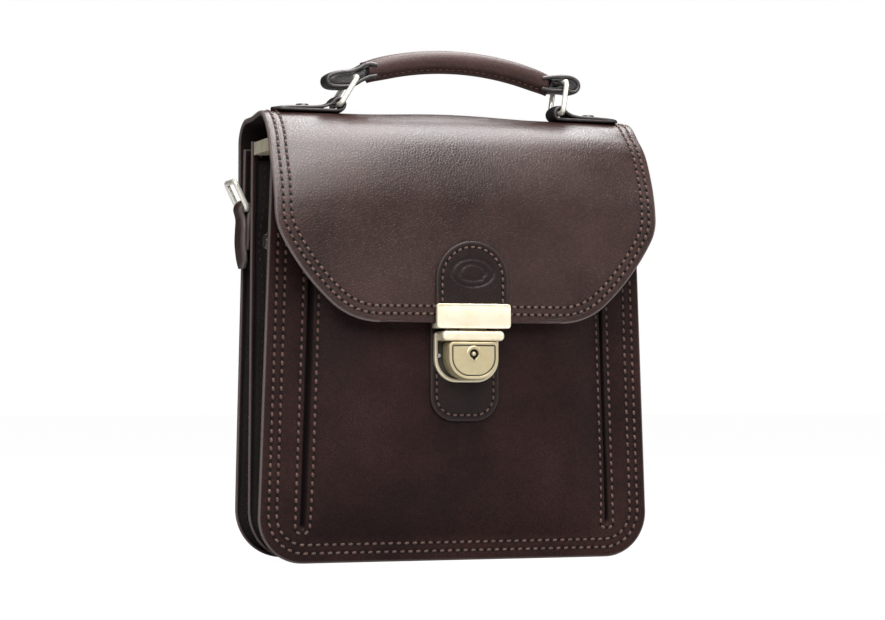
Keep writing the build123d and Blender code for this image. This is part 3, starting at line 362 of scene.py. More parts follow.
def near_line(distance, width):
    """A bell that is 1 on a line and fades over a width."""
    return np.exp(-(distance / width) ** 2)


def panel_side(z, foot_half, top_half, height):
    """Half width between the straight, slightly converging sides."""
    return foot_half + (top_half - foot_half) * z / height


def panel_rim(x, z, foot_half, top_half, height, corner):
    """Distance inside the outline: to the side, the foot, the top, or the round lower corner."""
    from_side = panel_side(z, foot_half, top_half, height) - np.abs(x)
    straight = np.minimum(np.minimum(from_side, z), height - z)
    at_corner = (from_side < corner) & (z < corner)
    round_off = corner - np.hypot(corner - from_side, corner - z)
    return np.clip(np.where(at_corner, round_off, straight), 0.0, None)


def panel_grid(foot_half, top_half, height, corner, fine):
    """Columns keep set distances from the sides, then share the middle; rows crowd at the foot."""
    fine = np.asarray(fine)
    low = fine[fine < foot_reach]
    high = height - fine[fine < top_reach][::-1]
    z = np.concatenate([low, np.linspace(low[-1], high[0], plain_rows)[1:-1], high])
    side = panel_side(z, foot_half, top_half, height)[:, None]
    bite = corner - np.sqrt(np.clip(corner ** 2 - np.clip(corner - z, 0.0, None) ** 2, 0.0, None))
    outer = 1.0 - fine[None, :] / side
    inner = outer[:, -1:] * np.linspace(1.0, 0.0, plain_columns)[None, 1:]
    share = np.concatenate([outer, inner], axis=1)
    share = np.concatenate([share, -share[:, -2::-1]], axis=1)
    x = (side - bite[:, None]) * share
    return x, np.broadcast_to(z[:, None], x.shape)


def round_edge(rim, radius):
    """How far a face falls back within a radius of its rim, as a quarter circle does."""
    share = 1.0 - np.clip(rim / radius, 0.0, 1.0)
    return radius * (1.0 - np.sqrt(1.0 - share ** 2))


def ease_out(distance, reach, power):
    """A rise from 0 to 1 over a reach, steep at first and flat at its end."""
    return 1.0 - (1.0 - np.clip(distance / reach, 0.0, 1.0)) ** power


def front_swell(x, z):
    """How far the front stands ahead of its rim: a steep rise inside the slits, flat in the middle."""
    from_slit = panel_side(z, *front_sides) - slit_inset - np.abs(x)
    across = ease_out(from_slit + 1.5, 42.0, 2.5)
    up = ease_out(z - swell_foot, 46.0, 2.3)
    down = ease_out(swell_top - z, 26.0, 2.0)
    band = 0.7 * near_line(from_slit - 9.5, 7.0) * smooth_step(z, 10.0, 30.0)
    quiet = smooth_step(np.abs(x), 23.0, 45.0)
    wrinkle = 0.22 * np.sin(x / 5.3 + 0.8 * np.sin(z / 17.0)) * near_line(z - 38.0, 26.0)
    sway = 0.45 * np.sin(x / 31.0 + z / 47.0) * np.sin(z / 29.0 + 0.6)
    return across * up * down * front_rise + band * 0.6 + (wrinkle + sway) * quiet * across


def slit_mask(x, z, width):
    """1 along both slits, fading over a width."""
    side = panel_side(z, *front_sides)
    along = smooth_step(z, slit_foot - 1.5, slit_foot + 1.0)
    along = along * (1.0 - smooth_step(z, slit_top - 1.0, slit_top + 1.5))
    return near_line(side - slit_inset - np.abs(x), width) * along


def front_face(x, z):
    """Points on the front panel's outer face."""
    side = panel_side(z, *front_sides)
    off_slit = np.abs(side - slit_inset - np.abs(x))
    lips = 0.5 * near_line(off_slit - 1.7, 1.1) * smooth_step(z, 18.0, 26.0)
    y = front_rim_y - front_swell(x, z) - lips + 2.5 * slit_mask(x, z, 1.0)
    return spots_at(x, y, z)


front_fine = [0.0, 0.15, 0.4, 0.75, 1.1, 1.8, 2.8, 3.8, 4.8, 5.8, 7.0, 8.4, 9.3, 10.2, 11.1, 12.5,
              14.5, 16.5, 18.4, 19.6, 20.6, 21.6, 22.4, 23.1, 23.6, 24.0, 24.3, 24.6, 24.9, 25.2,
              25.6, 26.1, 26.8, 27.6, 28.6, 29.6, 31.5, 34.0, 37.0, 41.0]
panel_x, panel_z = panel_grid(*front_shape, front_fine)
front_rim = panel_rim(panel_x, panel_z, *front_shape)
front_outer = front_face(panel_x, panel_z)
front_outer[..., 1] += round_edge(front_rim, edge_radius)
front_inner = front_outer.copy()
front_inner[..., 1] = (front_rim_y + front_wall - front_swell(panel_x, panel_z)
                       - round_edge(front_rim, edge_radius))
from_front_side = panel_side(panel_z, *front_sides) - np.abs(panel_x)
front_seam_mark = sum(near_line(front_rim - offset, 0.9) for offset in front_seams)
front_seam_mark += (sum(near_line(from_front_side - offset, 0.8) for offset in slit_seams)
                    * smooth_step(panel_z, pocket_seam_foot, pocket_seam_foot + 2.0))
front_marks = {
    "rim": np.stack([1.0 - smooth_step(front_rim, 0.3, 1.2)] * 2),
    "seam": np.stack([front_seam_mark, np.zeros_like(front_rim)]),
    # The slits are painted nearly black: painted shade in the openings to the pocket.
    "hollow_shade": np.stack([slit_mask(panel_x, panel_z, 1.25), np.zeros_like(front_rim)]),
}
panel_points, panel_faces = two_faced(front_outer, front_inner)
front_skin = make_piece("front_skin", panel_points, panel_faces, body_leather, front_marks)
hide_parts("front_panel")
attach(front_skin, "case")

# ---------------------------------------------------------------- stitching
# Waxed thread, sewn by machine at five or six to the inch and a little slack, so each
# stitch stands up as a short bead between two needle holes.
stitch_pitch = 4.6
hole_radius = 1.0
thread_slant = np.radians(7.0)
thread_brown = (0.125, 0.074, 0.062)


def thread_material(name, colour):
    """Twisted thread: fine slanting bands of two tones, and no gloss."""
    material, tree, shader, place = new_material(name)
    plies = add_node(tree, "ShaderNodeTexWave", {"bands_direction": "DIAGONAL"}, Vector=place,
                     Scale=1500.0, Distortion=1.5)
    wax = add_node(tree, "ShaderNodeTexNoise", None, Vector=place, Scale=210.0)
    tone = tint(tree, plies.outputs["Fac"], part_of(colour, 0.55), part_of(colour, 1.25))
    tone = tint(tree, spread(tree, wax.outputs[0], 0.35, 0.7, 0.0, 0.55), tone,
                part_of(colour, 0.4))
    bump = add_node(tree, "ShaderNodeBump", None, Strength=0.4, Distance=0.0001,
                    Height=plies.outputs["Fac"])
    fill_inputs(tree, shader, Base_Color=tone, Normal=bump.outputs[0], Roughness=0.62,
                Specular_IOR_Level=0.15)
    return material


waxed_thread = thread_material("waxed_thread", thread_brown)
needle_shadow = thread_material("needle_shadow", (0.0022, 0.001, 0.0008))
dark_thread = thread_material("dark_thread", (0.022, 0.015, 0.0135))


def set_down(shape, middles, ahead, ups):
    """Copies of a small shape, one at each middle, turned to its heading and its normal."""
    beside = np.cross(ups, ahead)
    return (middles[:, None] + shape[None, :, 0:1] * ahead[:, None]
            + shape[None, :, 1:2] * beside[:, None] + shape[None, :, 2:3] * ups[:, None])


def sew(name, surface, lines, body, outward=1.0, pitch=stitch_pitch, length=2.9, width=1.7,
        thread=waxed_thread, holes=True, step=(0.2, 0.2)):
    """Beads of thread along lines on a surface, one each pitch, their ends sunk in needle holes, which are
    flat dark discs of painted shade.

    A bead is five rings of six points: its radius follows a half ellipse, and its middle is
    lifted by the same curve, along the surface's normal.
    """
    along = np.array([-1.0, -0.72, 0.0, 0.72, 1.0])
    turn = np.arange(6) * np.pi / 3.0
    girth = np.array([0.16, 0.75, 1.0, 0.75, 0.16]) * width / 2.0
    lift = np.array([-0.28, 0.06, 0.2, 0.06, -0.28])
    bead = np.stack([np.repeat(along * length / 2.0, 6),
                     np.ravel(girth[:, None] * np.cos(turn)[None, :]),
                     np.ravel(lift[:, None] + 0.62 * girth[:, None] * np.sin(turn)[None, :])], axis=1)
    bead_quads = grid_quads(5, 6, 0, True)
    ends = np.array([[5, 4, 3, 2, 1, 0], [24, 25, 26, 27, 28, 29]])
    shade_disc = np.stack([hole_radius * np.cos(turn), hole_radius * np.sin(turn), np.full(6, 0.035)], axis=1)
    middles, forwards, ups, gaps = [], [], [], []
    for first, second in lines:
        dense = surface(first, second)
        run = run_along(dense)
        count = max(int(run[-1] / pitch), 1)
        half_steps = np.linspace(0.0, run[-1], 2 * count + 1)
        a, b = (np.interp(half_steps, run, way) for way in (first, second))
        spots = surface(a, b)
        fore, aft = (surface(*(np.interp(half_steps + shift, run, way) for way in (first, second)))
                     for shift in (0.3, -0.3))
        heading = fore - aft
        heading /= np.linalg.norm(heading, axis=1, keepdims=True)
        rising = np.cross(surface(a + step[0], b) - surface(a - step[0], b),
                          surface(a, b + step[1]) - surface(a, b - step[1])) * outward
        rising /= np.linalg.norm(rising, axis=1, keepdims=True)
        middles.append(spots[1::2])
        gaps.append(np.concatenate([spots[0::2], heading[0::2], rising[0::2]], axis=1))
        forwards.append(heading[1::2])
        ups.append(rising[1::2])
    middles, forwards, ups = (np.concatenate(part) for part in (middles, forwards, ups))
    sideways = np.cross(ups, forwards)
    ahead = forwards * np.cos(thread_slant) + sideways * np.sin(thread_slant)
    shift = np.arange(len(middles))[:, None, None] * len(bead)
    faces = (bead_quads[None] + shift).reshape(-1, 4).tolist()
    faces += (ends[None] + shift).reshape(-1, 6).tolist()
    parts = [make_piece(name, set_down(bead, middles, ahead, ups), faces, thread)]
    # Each needle hole is a flat near-black disc between two beads: painted shade.
    if holes:
        spots = np.concatenate(gaps)
        points = set_down(shade_disc, spots[:, 0:3], spots[:, 3:6], spots[:, 6:9])
        faces = np.arange(len(spots) * 6).reshape(-1, 6).tolist()
        parts.append(make_piece(name + "_needle_shade", points, faces, needle_shadow, closed=False))
    for part in parts:
        if body:
            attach(part, body)
    return parts


def panel_line(offset, foot_half, top_half, height, corner):
    """A closed line at a set distance inside a panel's outline, from the top left round the foot."""
    reach = corner - offset
    swing = np.linspace(0.0, np.pi / 2.0, 24)
    foot_x = panel_side(corner, foot_half, top_half, height) - corner
    side_z = np.linspace(height - offset, corner, 60)
    right_z = np.concatenate([side_z, corner - reach * np.sin(swing[1:]), [offset]])
    right_x = np.concatenate([panel_side(side_z, foot_half, top_half, height) - offset,
                              foot_x + reach * np.cos(swing[1:]), [0.0]])
    x = np.concatenate([-right_x, right_x[-2::-1], [-right_x[0]]])
    z = np.concatenate([right_z, right_z[-2::-1], [right_z[0]]])
    return x, z


def slit_seam_line(side):
    """Up one side of a slit, as a U whose foot lies below the slit."""
    z = np.linspace(212.0, pocket_seam_foot + 1.5, 60)
    half = panel_side(z, *front_sides)
    outer, inner = half - slit_seams[0], half - slit_seams[1]
    foot_x = np.array([outer[-1] - 2.0, inner[-1] + 2.0])
    x = np.concatenate([outer, foot_x, inner[::-1]])
    return side * x, np.concatenate([z, [pocket_seam_foot] * 2, z[::-1]])


front_lines = [panel_line(offset, *front_shape) for offset in front_seams]
sew("front_stitches", front_face, front_lines, "case")
sew("slit_stitches", front_face, [slit_seam_line(-1.0), slit_seam_line(1.0)], "case")

# ---------------------------------------------------------------- back panel and divider
# Two more panels of the same leather and board. The divider leans, so that the front
# compartment is the wider one at the top.
rear_foot_half = 112.5
rear_top_half = 107.5
rear_corner = 28.0
back_height = 230.0
back_face_y = 43.0
back_wall = 3.0
divider_height = 233.0
divider_foot_y = 11.5
divider_top_y = 24.5
divider_wall = 2.6
plain_fine = [*front_fine[:16], 15.0, 18.0, 22.0, 26.0, 31.0, 36.0, 41.0]


def back_face(x, z):
    """Points on the back panel's outer face, which swells by about a millimetre."""
    up = np.clip(z, 0.0, back_height) / back_height
    swell = 1.2 * np.cos(np.pi * x / 240.0) * np.sin(np.pi * up)
    swell = swell + 0.3 * np.sin(x / 27.0) * np.sin(z / 33.0)
    return spots_at(x, back_face_y + swell, z)


def divider_lean(z):
    """How far back the divider's front face lies at height z."""
    return divider_foot_y + (divider_top_y - divider_foot_y) * z / divider_height


def divider_face(x, z):
    """Points on the divider's front face, which leans back as it rises and waves a little."""
    return spots_at(x, divider_lean(z) + 0.25 * np.sin(x / 31.0) * np.sin(z / 37.0), z)


def plain_panel(name, face, height, wall, into, node, material=body_leather,
                inset=0.0):
    """A panel whose outer face is a surface and whose other face lies a wall behind it."""
    shape = [size - inset for size in (rear_foot_half, rear_top_half, height, rear_corner)]
    x, z = panel_grid(*shape, plain_fine)
    rim = panel_rim(x, z, *shape)
    outer = face(x, z + inset)
    inner = outer.copy()
    rounding = round_edge(rim, min(edge_radius, wall / 2.0))
    outer[..., 1] += into * rounding
    inner[..., 1] += into * (wall - rounding)
    seam = sum(near_line(rim - offset, 0.9) for offset in front_seams)
    points, faces = two_faced(outer, inner)
    marks = {"rim": np.stack([1.0 - smooth_step(rim, 0.3, 1.2)] * 2), "seam": np.stack([seam] * 2)}
    panel = make_piece(name, points, faces, material, marks)
    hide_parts(node)
    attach(panel, "case")


plain_panel("back_skin", back_face, back_height, back_wall, -1.0, "back_panel")
plain_panel("divider_skin", divider_face, divider_height, divider_wall, 1.0, "divider_panel")
back_line = panel_line(front_seams[0], rear_foot_half, rear_top_half, back_height, rear_corner)
sew("back_stitches", back_face, [back_line], "case", outward=-1.0)
divider_line = panel_line(front_seams[0], rear_foot_half, rear_top_half, divider_height, rear_corner)
sew("divider_stitches", divider_face, [divider_line], "case")

# ---------------------------------------------------------------- gussets
# Soft strips that run down one side, under the bag and up the other. Each is folded
# inward along its middle, so that the bag can be pressed flat.
gusset_top = 222.0
gusset_wall = 1.3
gusset_flange = 2.2
fold_depth = 8.5
snap_height = 176.0
gusset_rows = 260
gusset_columns = 22
gusset_stitch_places = (0.13, 0.87)
gusset_brown = (0.0052, 0.0036, 0.0034)
gusset_worn = (0.013, 0.009, 0.008)
gusset_leather = leather("gusset_leather", gusset_brown, gusset_worn, gloss=0.55, relief=0.6,
                         shine=0.0, creases=0.5, sheen=0.15)


def gusset_path(share):
    """The U between the panels at a share of the way round, from the left top to the right top."""
    half = (front_foot_half + rear_foot_half) / 2.0
    top_half = (front_top_half + rear_top_half) / 2.0
    x, z = panel_line(0.0, half, top_half, gusset_top, (front_corner + rear_corner) / 2.0)
    x, z = x[:-1], z[:-1]
    run = run_along(np.stack([x, z], axis=1))
    u = share * run[-1]
    point, ahead, behind = (np.stack([np.interp(u + step, run, x), np.interp(u + step, run, z)],
                                     axis=-1) for step in (0.0, 1.5, -1.5))
    heading = ahead - behind
    heading /= np.linalg.norm(heading, axis=-1, keepdims=True)
    return point, np.stack([-heading[..., 1], heading[..., 0]], axis=-1)


def front_gusset_span(z):
    """Where the front gusset starts and ends, front to back, at height z."""
    return front_rim_y + front_wall, divider_lean(z)


def rear_gusset_span(z):
    """The same for the rear gusset."""
    return divider_lean(z) + divider_wall, back_face_y - back_wall


def gusset_surface(span, depth=0.0):
    """A surface over the share round the bag and the share of the way from front to back."""
    def surface(around, across):
        point, inward = gusset_path(around)
        middle = np.sin(np.pi * np.clip(across, 0.0, 1.0))
        fold = fold_depth * middle ** 0.8
        if span is front_gusset_span:
            fold = fold * (1.0 - 0.67 * near_line(point[..., 1] - snap_height, 15.0))
        fold = fold + 0.35 * np.sin(around * 61.0) * middle
        spot = point + inward * (gusset_flange + fold + depth)[..., None]
        start, stop = span(spot[..., 1])
        return spots_at(spot[..., 0], start + (stop - start) * across, spot[..., 1])
    return surface


for gusset_name, gusset_span, gusset_node in (("front_gusset_skin", front_gusset_span, "front_gusset"),
                                              ("rear_gusset_skin", rear_gusset_span, "rear_gusset")):
    around, across = np.meshgrid(np.linspace(0.0, 1.0, gusset_rows),
                                 np.linspace(0.0, 1.0, gusset_columns), indexing="ij")
    points, faces = two_faced(gusset_surface(gusset_span)(around, across),
                              gusset_surface(gusset_span, gusset_wall)(around, across))
    # The middle of the fold is painted nearly black: painted shade deep in the crease.
    fold_shade = near_line(across - 0.5, 0.1) * 0.8
    gusset = make_piece(gusset_name, points, faces, gusset_leather,
                        {"hollow_shade": np.stack([fold_shade, fold_shade * 0.0])})
    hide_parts(gusset_node)
    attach(gusset, "case")
    gusset_lines = [(np.linspace(0.004, 0.996, 300), np.full(300, place))
                    for place in gusset_stitch_places]
    sew(gusset_name.replace("skin", "stitches"), gusset_surface(gusset_span), gusset_lines, "case",
        outward=-1.0, thread=dark_thread, holes=False, step=(0.0005, 0.01))

# ---------------------------------------------------------------- crown and flap
# One sheet of leather, sewn to the back panel, laid over the top and hanging down the
# front. It is lined with thin suede, and its painted rim has two rows of stitches.
flap_face_y = -38.21
flap_wall = 3.0
back_sheet_y = 45.2
back_sheet_foot = 206.0
back_bend_y = 28.4
back_bend_z = 233.1
crown_top = 247.7
crown_flat_front = 2.0
shoulder_radius = 36.0
bow_radius = 72.0
shoulder_turn = np.radians(62.0)
flap_foot = 131.0
crown_half = 110.0
flap_half = 111.3
flap_seams = (4.6, 8.8)
corner_arcs = ((30.0, 28.0), (130.0, 20.0), (40.0, 42.0))
front_sag_runs = (80.0, 104.0, 118.0, 168.0)
back_sag_runs = (28.0, 45.0, 60.0, 78.0)
# The flap's two browns are lighter than the body's: painted light, standing for the extra light on the
# flap's bowed face.
flap_lit_brown = (0.0105, 0.0041, 0.0034)
flap_lit_worn = (0.048, 0.0205, 0.0165)
suede_brown = (0.0105, 0.0066, 0.0055)
suede_worn = (0.022, 0.0145, 0.012)


def over_the_top():
    """The sheet seen from the side: up the back, a quarter turn, flat, round the front, down."""
    share = np.linspace(0.0, 1.0, 40)
    swing = share * np.pi / 2.0
    back = [(back_sheet_y, height) for height in np.linspace(back_sheet_foot, back_bend_z, 28)]
    wide, tall = back_sheet_y - back_bend_y, crown_top - back_bend_z
    reach = wide + (tall - wide) * share
    back += list(zip(back_bend_y + reach * np.cos(swing), back_bend_z + reach * np.sin(swing)))[1:]
    back += [(depth, crown_top) for depth in np.linspace(back_bend_y, crown_flat_front, 28)[1:]]
    swing = np.linspace(0.0, shoulder_turn, 60)[1:]
    centre = crown_top - shoulder_radius
    back += list(zip(crown_flat_front - shoulder_radius * np.sin(swing),
                     centre + shoulder_radius * np.cos(swing)))
    swing = np.linspace(shoulder_turn, np.pi / 2.0, 50)[1:]
    gap = bow_radius - shoulder_radius
    bow_y = crown_flat_front + gap * np.sin(shoulder_turn)
    bow_z = centre - gap * np.cos(shoulder_turn)
    back += list(zip(bow_y - bow_radius * np.sin(swing), bow_z + bow_radius * np.cos(swing)))
    back += [(flap_face_y, height) for height in np.linspace(bow_z, flap_foot, 70)[1:]]
    return np.array(back)


side_view = over_the_top()
side_run = run_along(side_view)
flap_length = side_run[-1]


def flap_outline():
    """Half the flap's outline as seen from the front: down the side, three arcs, to the foot."""
    heading = np.array([0.0, -1.0])
    spot = np.array([flap_half, 0.0])
    points = [spot]
    for radius, degrees in corner_arcs:
        left = np.array([heading[1], -heading[0]])
        centre = spot + left * radius
        for angle in np.radians(np.linspace(0.0, degrees, 16)[1:]):
            turned = np.array([[np.cos(angle), np.sin(angle)], [-np.sin(angle), np.cos(angle)]])
            points.append(centre + turned @ (spot - centre))
        heading = turned @ heading
        spot = points[-1]
    points = np.array(points)
    points[:, 1] += flap_foot - points[-1, 1]
    return points


outline = flap_outline()


def flap_half_width(s):
    """Half the sheet's width at a run s: crown, then flap, then the cut-away lower corners."""
    crown = crown_half + (flap_half - crown_half) * smooth_step(s, 95.0, 125.0)
    height = flap_foot + flap_length - s
    corner = np.interp(height, outline[::-1, 1], outline[::-1, 0], right=flap_half)
    return np.where(height < outline[0, 1], corner, crown)


def flap_droop(x, s):
    """How far the sheet sags inside its free shape at the ends, and how far it is full mid-top."""
    toward_end = (np.abs(x) / crown_half) ** 3.2
    front, back = (smooth_step(s, *runs[:2]) * (1.0 - smooth_step(s, *runs[2:]))
                   for runs in (front_sag_runs, back_sag_runs))
    full = np.clip(1.0 - (x / 54.0) ** 2, 0.0, 1.0) ** 2 * near_line(s - 76.0, 16.0)
    sway = 0.3 * np.sin(x / 19.0 + 1.0) * np.sin(s / 15.0) * smooth_step(s, 85.0, 110.0)
    calm = 1.0 - near_line(x, 34.0) * smooth_step(s, 150.0, 165.0)
    return toward_end * (5.0 * front + 1.6 * back) - 1.7 * full + sway * calm


def flap_surface(x, s, depth=0.0):
    """Points of the sheet at x and run s, a depth inside its outer face."""
    y = np.interp(s, side_run, side_view[:, 0])
    z = np.interp(s, side_run, side_view[:, 1])
    step_y, step_z = (np.interp(s + 2.0, side_run, way) - np.interp(s - 2.0, side_run, way)
                      for way in side_view.T)
    size = np.hypot(step_y, step_z)
    inward = flap_droop(x, s) + depth
    return spots_at(x, y - inward * step_z / size, z + inward * step_y / size)


def flap_rim(x, s):
    """Distance inside the sheet's outline."""
    height = flap_foot + flap_length - s
    straight = np.minimum(flap_half_width(s) - np.abs(x), np.minimum(s, flap_length - s))
    start, stop = outline[:-1], outline[1:]
    leg = stop - start
    spot = np.stack([np.abs(x), height], axis=-1)[..., None, :]
    along = np.clip(((spot - start) * leg).sum(-1) / (leg * leg).sum(-1), 0.0, 1.0)
    to_corner = np.linalg.norm(spot - (start + along[..., None] * leg), axis=-1).min(-1)
    cut_away = height < outline[0, 1]
    just_above = height < outline[0, 1] + 12.0
    straight = np.where(just_above, np.minimum(to_corner, straight), straight)
    return np.clip(np.where(cut_away, to_corner, straight), 0.0, None)


# The flap leather takes the lighter browns above: painted light for its better-lit face.
flap_lit_leather = leather("flap_lit_leather", flap_lit_brown, flap_lit_worn, gloss=0.31, relief=0.6, shine=0.26,
                       creases=0.35, patches=13.0, sheen=0.3)
suede_lining = leather("suede_lining", suede_brown, suede_worn, gloss=0.85, relief=0.9,
                       cells_per_metre=2200.0, shine=0.0, creases=0.0, sheen=0.1)
edge_steps = np.array([*front_fine[:8], 4.6, 5.6, 6.8, 8.0, 8.8, 9.8, 11.5, 14.0, 18.0, 24.0, 31.0])
run_rows = np.concatenate([edge_steps[:-3], np.linspace(14.0, flap_length - 62.0, 150)[1:-1],
                           flap_length - np.concatenate([np.linspace(62.0, 14.0, 38),
                                                         edge_steps[:15][::-1]])])
run_rows = np.unique(np.round(run_rows, 3))
row_half = flap_half_width(run_rows)[:, None]
outer_share = 1.0 - edge_steps[None, :] / row_half
inner_share = outer_share[:, -1:] * np.linspace(1.0, 0.0, 26)[None, 1:]
row_share = np.concatenate([outer_share, inner_share], axis=1)
row_share = np.concatenate([row_share, -row_share[:, -2::-1]], axis=1)
flap_x = row_half * row_share
flap_s = np.broadcast_to(run_rows[:, None], flap_x.shape)
sheet_rim = flap_rim(flap_x, flap_s)
sheet_round = round_edge(sheet_rim, edge_radius)
flap_outer = flap_surface(flap_x, flap_s, sheet_round)
flap_inner = flap_surface(flap_x, flap_s, flap_wall - sheet_round)
flap_points, flap_faces = two_faced(flap_outer, flap_inner)
flap_seam = sum(near_line(sheet_rim - offset, 0.9) for offset in flap_seams)
flap_marks = {"rim": np.stack([1.0 - smooth_step(sheet_rim, 0.3, 1.2)] * 2),
              "seam": np.stack([flap_seam, 0.0 * flap_seam])}
sheet_quads = (flap_x.shape[0] - 1) * (flap_x.shape[1] - 1)
flap_sheet = make_piece("flap_sheet", flap_points, flap_faces, flap_lit_leather, flap_marks,
                        inner_faces=np.arange(sheet_quads, 2 * sheet_quads),
                        inner_material=suede_lining)
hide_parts("flap_crown", "flap_leaf", "crown_lining", "flap_lining")
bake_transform(flap_sheet)


def flap_line(offset):
    """A closed line inside the sheet's outline, from the back left, round the foot, and back."""
    leg = np.gradient(outline, axis=0)
    leg /= np.linalg.norm(leg, axis=1, keepdims=True)
    corner = outline + offset * np.stack([leg[:, 1], -leg[:, 0]], axis=1)
    run = np.linspace(offset, flap_length - (outline[0, 1] - flap_foot) - 0.5, 140)
    x = np.concatenate([flap_half_width(run) - offset, corner[:, 0], [0.0]])
    s = np.concatenate([run, flap_length + flap_foot - corner[:, 1], [flap_length - offset]])
    s = np.minimum(s, flap_length - offset)
    return np.concatenate([x, -x[-2::-1]]), np.concatenate([s, s[-2::-1]])


flap_rows = [flap_line(offset) for offset in flap_seams]
back_rows = [(np.linspace(100.0, -100.0, 120), np.full(120, offset)) for offset in flap_seams]
for flap_thread in sew("flap_stitches", flap_surface, flap_rows + back_rows, None, outward=-1.0,
                       pitch=4.2, length=2.7):
    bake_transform(flap_thread)

# ---------------------------------------------------------------- lock patches
# Two tongues of the same leather that back the lock, one sewn on the flap and one on the
# front. The upper one has a plain oval pressed into it.
upper_patch_half = 21.0
upper_patch_top = 175.8
patch_wall = 2.0
lower_patch_half = 20.0
lower_patch_foot = 77.0
lower_patch_top = 150.0
lower_patch_corner = 14.0
patch_seam = 3.4
oval_z = 158.5
oval_half_width = 12.0
oval_half_height = 7.6
upper_seam_foot = 141.0
lower_seam_top = 120.0
patch_brown = (0.0065, 0.0027, 0.0024)
patch_worn = (0.022, 0.0105, 0.009)


def share_out(line, shares):
    """The points that lie at the given shares of a line's length."""
    run = run_along(line)
    spots = shares * run[-1]
    return np.stack([np.interp(spots, run, line[:, 0]), np.interp(spots, run, line[:, 1])], axis=1)


def shield_outline(half, foot, top, foot_corner, top_corner, count=180):
    """A closed line round a plate whose corners are arcs, evenly shared out, as x and z."""
    quarter = np.linspace(0.0, np.pi / 2.0, 14)
    parts = []
    top_x, top_z = half - top_corner, top - top_corner
    foot_x, foot_z = half - foot_corner, foot + foot_corner
    for turn, (x, z, radius) in enumerate(((top_x, top_z, top_corner), (-top_x, top_z, top_corner),
                                           (-foot_x, foot_z, foot_corner),
                                           (foot_x, foot_z, foot_corner))):
        angle = quarter + turn * np.pi / 2.0
        parts.append(np.stack([x + radius * np.cos(angle), z + radius * np.sin(angle)], axis=1))
    line = np.concatenate(parts + [parts[0][:1]])
    return share_out(line, np.linspace(0.0, 1.0, count + 1)[:-1])


def inset_line(line, inset):
    """The closed line moved in along its own normals."""
    heading = np.roll(line, -1, axis=0) - np.roll(line, 1, axis=0)
    heading /= np.linalg.norm(heading, axis=1, keepdims=True)
    return line + inset * np.stack([-heading[:, 1], heading[:, 0]], axis=1)


def closed_rings(rings):
    """Points and faces of a closed form: equal rings in turn, and a pole at each end."""
    rows, count = rings.shape[:2]
    points = np.concatenate([rings.reshape(-1, 3), rings[0].mean(0)[None], rings[-1].mean(0)[None]])
    here = np.arange(count)
    there = (here + 1) % count
    last = (rows - 1) * count
    faces = grid_quads(rows, count, 0, True).tolist()
    faces += np.stack([there, here, np.full(count, rows * count)], axis=1).tolist()
    faces += np.stack([last + here, last + there, np.full(count, rows * count + 1)], axis=1).tolist()
    return points, faces


far_inside = 99.0


def plate_piece(name, line, base_y, section, material, relief=None, shades=None, middle_rings=9):
    """A plate on the XZ plane at base_y, reaching towards -Y.

    Its section is a list of (inset, height): the outline moves in by each inset at each
    height, then shrinks evenly to its middle. relief(x, z) adds height away from the rim,
    and shades are masks worked out from the inset of each ring.
    """
    centre = line.mean(0)
    last_inset, height = section[-1]
    shares = np.linspace(1.0, 0.0, middle_rings + 1)[1:-1]
    lines = [inset_line(line, inset) for inset, _ in section]
    lines += [centre + (inset_line(line, last_inset) - centre) * share for share in shares]
    heights = [rise for _, rise in section] + [height] * len(shares)
    rings = np.array([spots_at(flat[:, 0], base_y - rise, flat[:, 1])
                      for flat, rise in zip(lines, heights)])
    insets = np.array([inset for inset, _ in section] + [far_inside] * len(shares))
    if relief is not None:
        lifted = relief(rings[..., 0], rings[..., 2])
        rings[..., 1] -= np.where(rings[..., 1] <= base_y - height + 1e-6, lifted, 0.0)
    marks = {}
    for label, shade in (shades or {}).items():
        mask = shade(insets)[:, None] * np.ones(len(line))
        marks[label] = np.concatenate([mask.ravel(), mask[0, :1], mask[-1, :1]])
    points, faces = closed_rings(rings)
    return make_piece(name, points, faces, material, marks)


def leather_section(wall):
    """A flat back, a round painted rim, and rings close enough to carry a row of stitches."""
    rim = [(0.7, 0.0), (0.12, 0.25 * wall), (0.0, 0.5 * wall), (0.12, 0.75 * wall), (0.4, 0.9 * wall),
           (0.9, wall)]
    return rim + [(inset, wall) for inset in (1.6, 2.3, 2.9, 3.4, 3.9, 4.6, 5.6, 7.0)]


leather_shades = {"rim": lambda inset: 1.0 - smooth_step(inset, 0.35, 1.3),
                  "seam": lambda inset: near_line(inset - patch_seam, 0.8)}
patch_leather = leather("patch_leather", patch_brown, patch_worn, gloss=0.42, relief=0.45, shine=0.02,
                        sheen=0.2, edge=(0.03, 0.021, 0.019))


def pressed_oval(x, z):
    """Two plain oval grooves and a shallow bowed bar, pressed into the upper patch."""
    reach = np.hypot(x / oval_half_width, (z - oval_z) / oval_half_height)
    outer = near_line(reach - 1.0, 0.075)
    inner = near_line(reach - 0.6, 0.08) * smooth_step(z, 155.0, 157.0)
    bar = near_line(z - 154.4 - x * x / 60.0, 0.8) * (1.0 - smooth_step(np.abs(x), 5.0, 7.0))
    return -0.55 * outer - 0.5 * inner - 0.4 * bar


upper_line = shield_outline(upper_patch_half, flap_foot, upper_patch_top, 8.0,
                            upper_patch_half - 0.01, 240)
upper_patch = plate_piece("upper_patch", upper_line, flap_face_y, leather_section(patch_wall),
                          patch_leather, pressed_oval, leather_shades, middle_rings=26)
lower_line = shield_outline(lower_patch_half, lower_patch_foot, lower_patch_top, lower_patch_corner,
                            8.0, 240)
pocket_face_y = front_rim_y - front_rise
lower_patch = plate_piece("lower_patch", lower_line, pocket_face_y, leather_section(patch_wall),
                          patch_leather, None, leather_shades)
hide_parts("upper_lock_patch")
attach(upper_patch, "flap")
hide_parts("lower_lock_patch")
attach(lower_patch, "case")


def flat_face(y):
    """A flat surface over x and z at depth y."""
    return lambda x, z: spots_at(x, y, z)


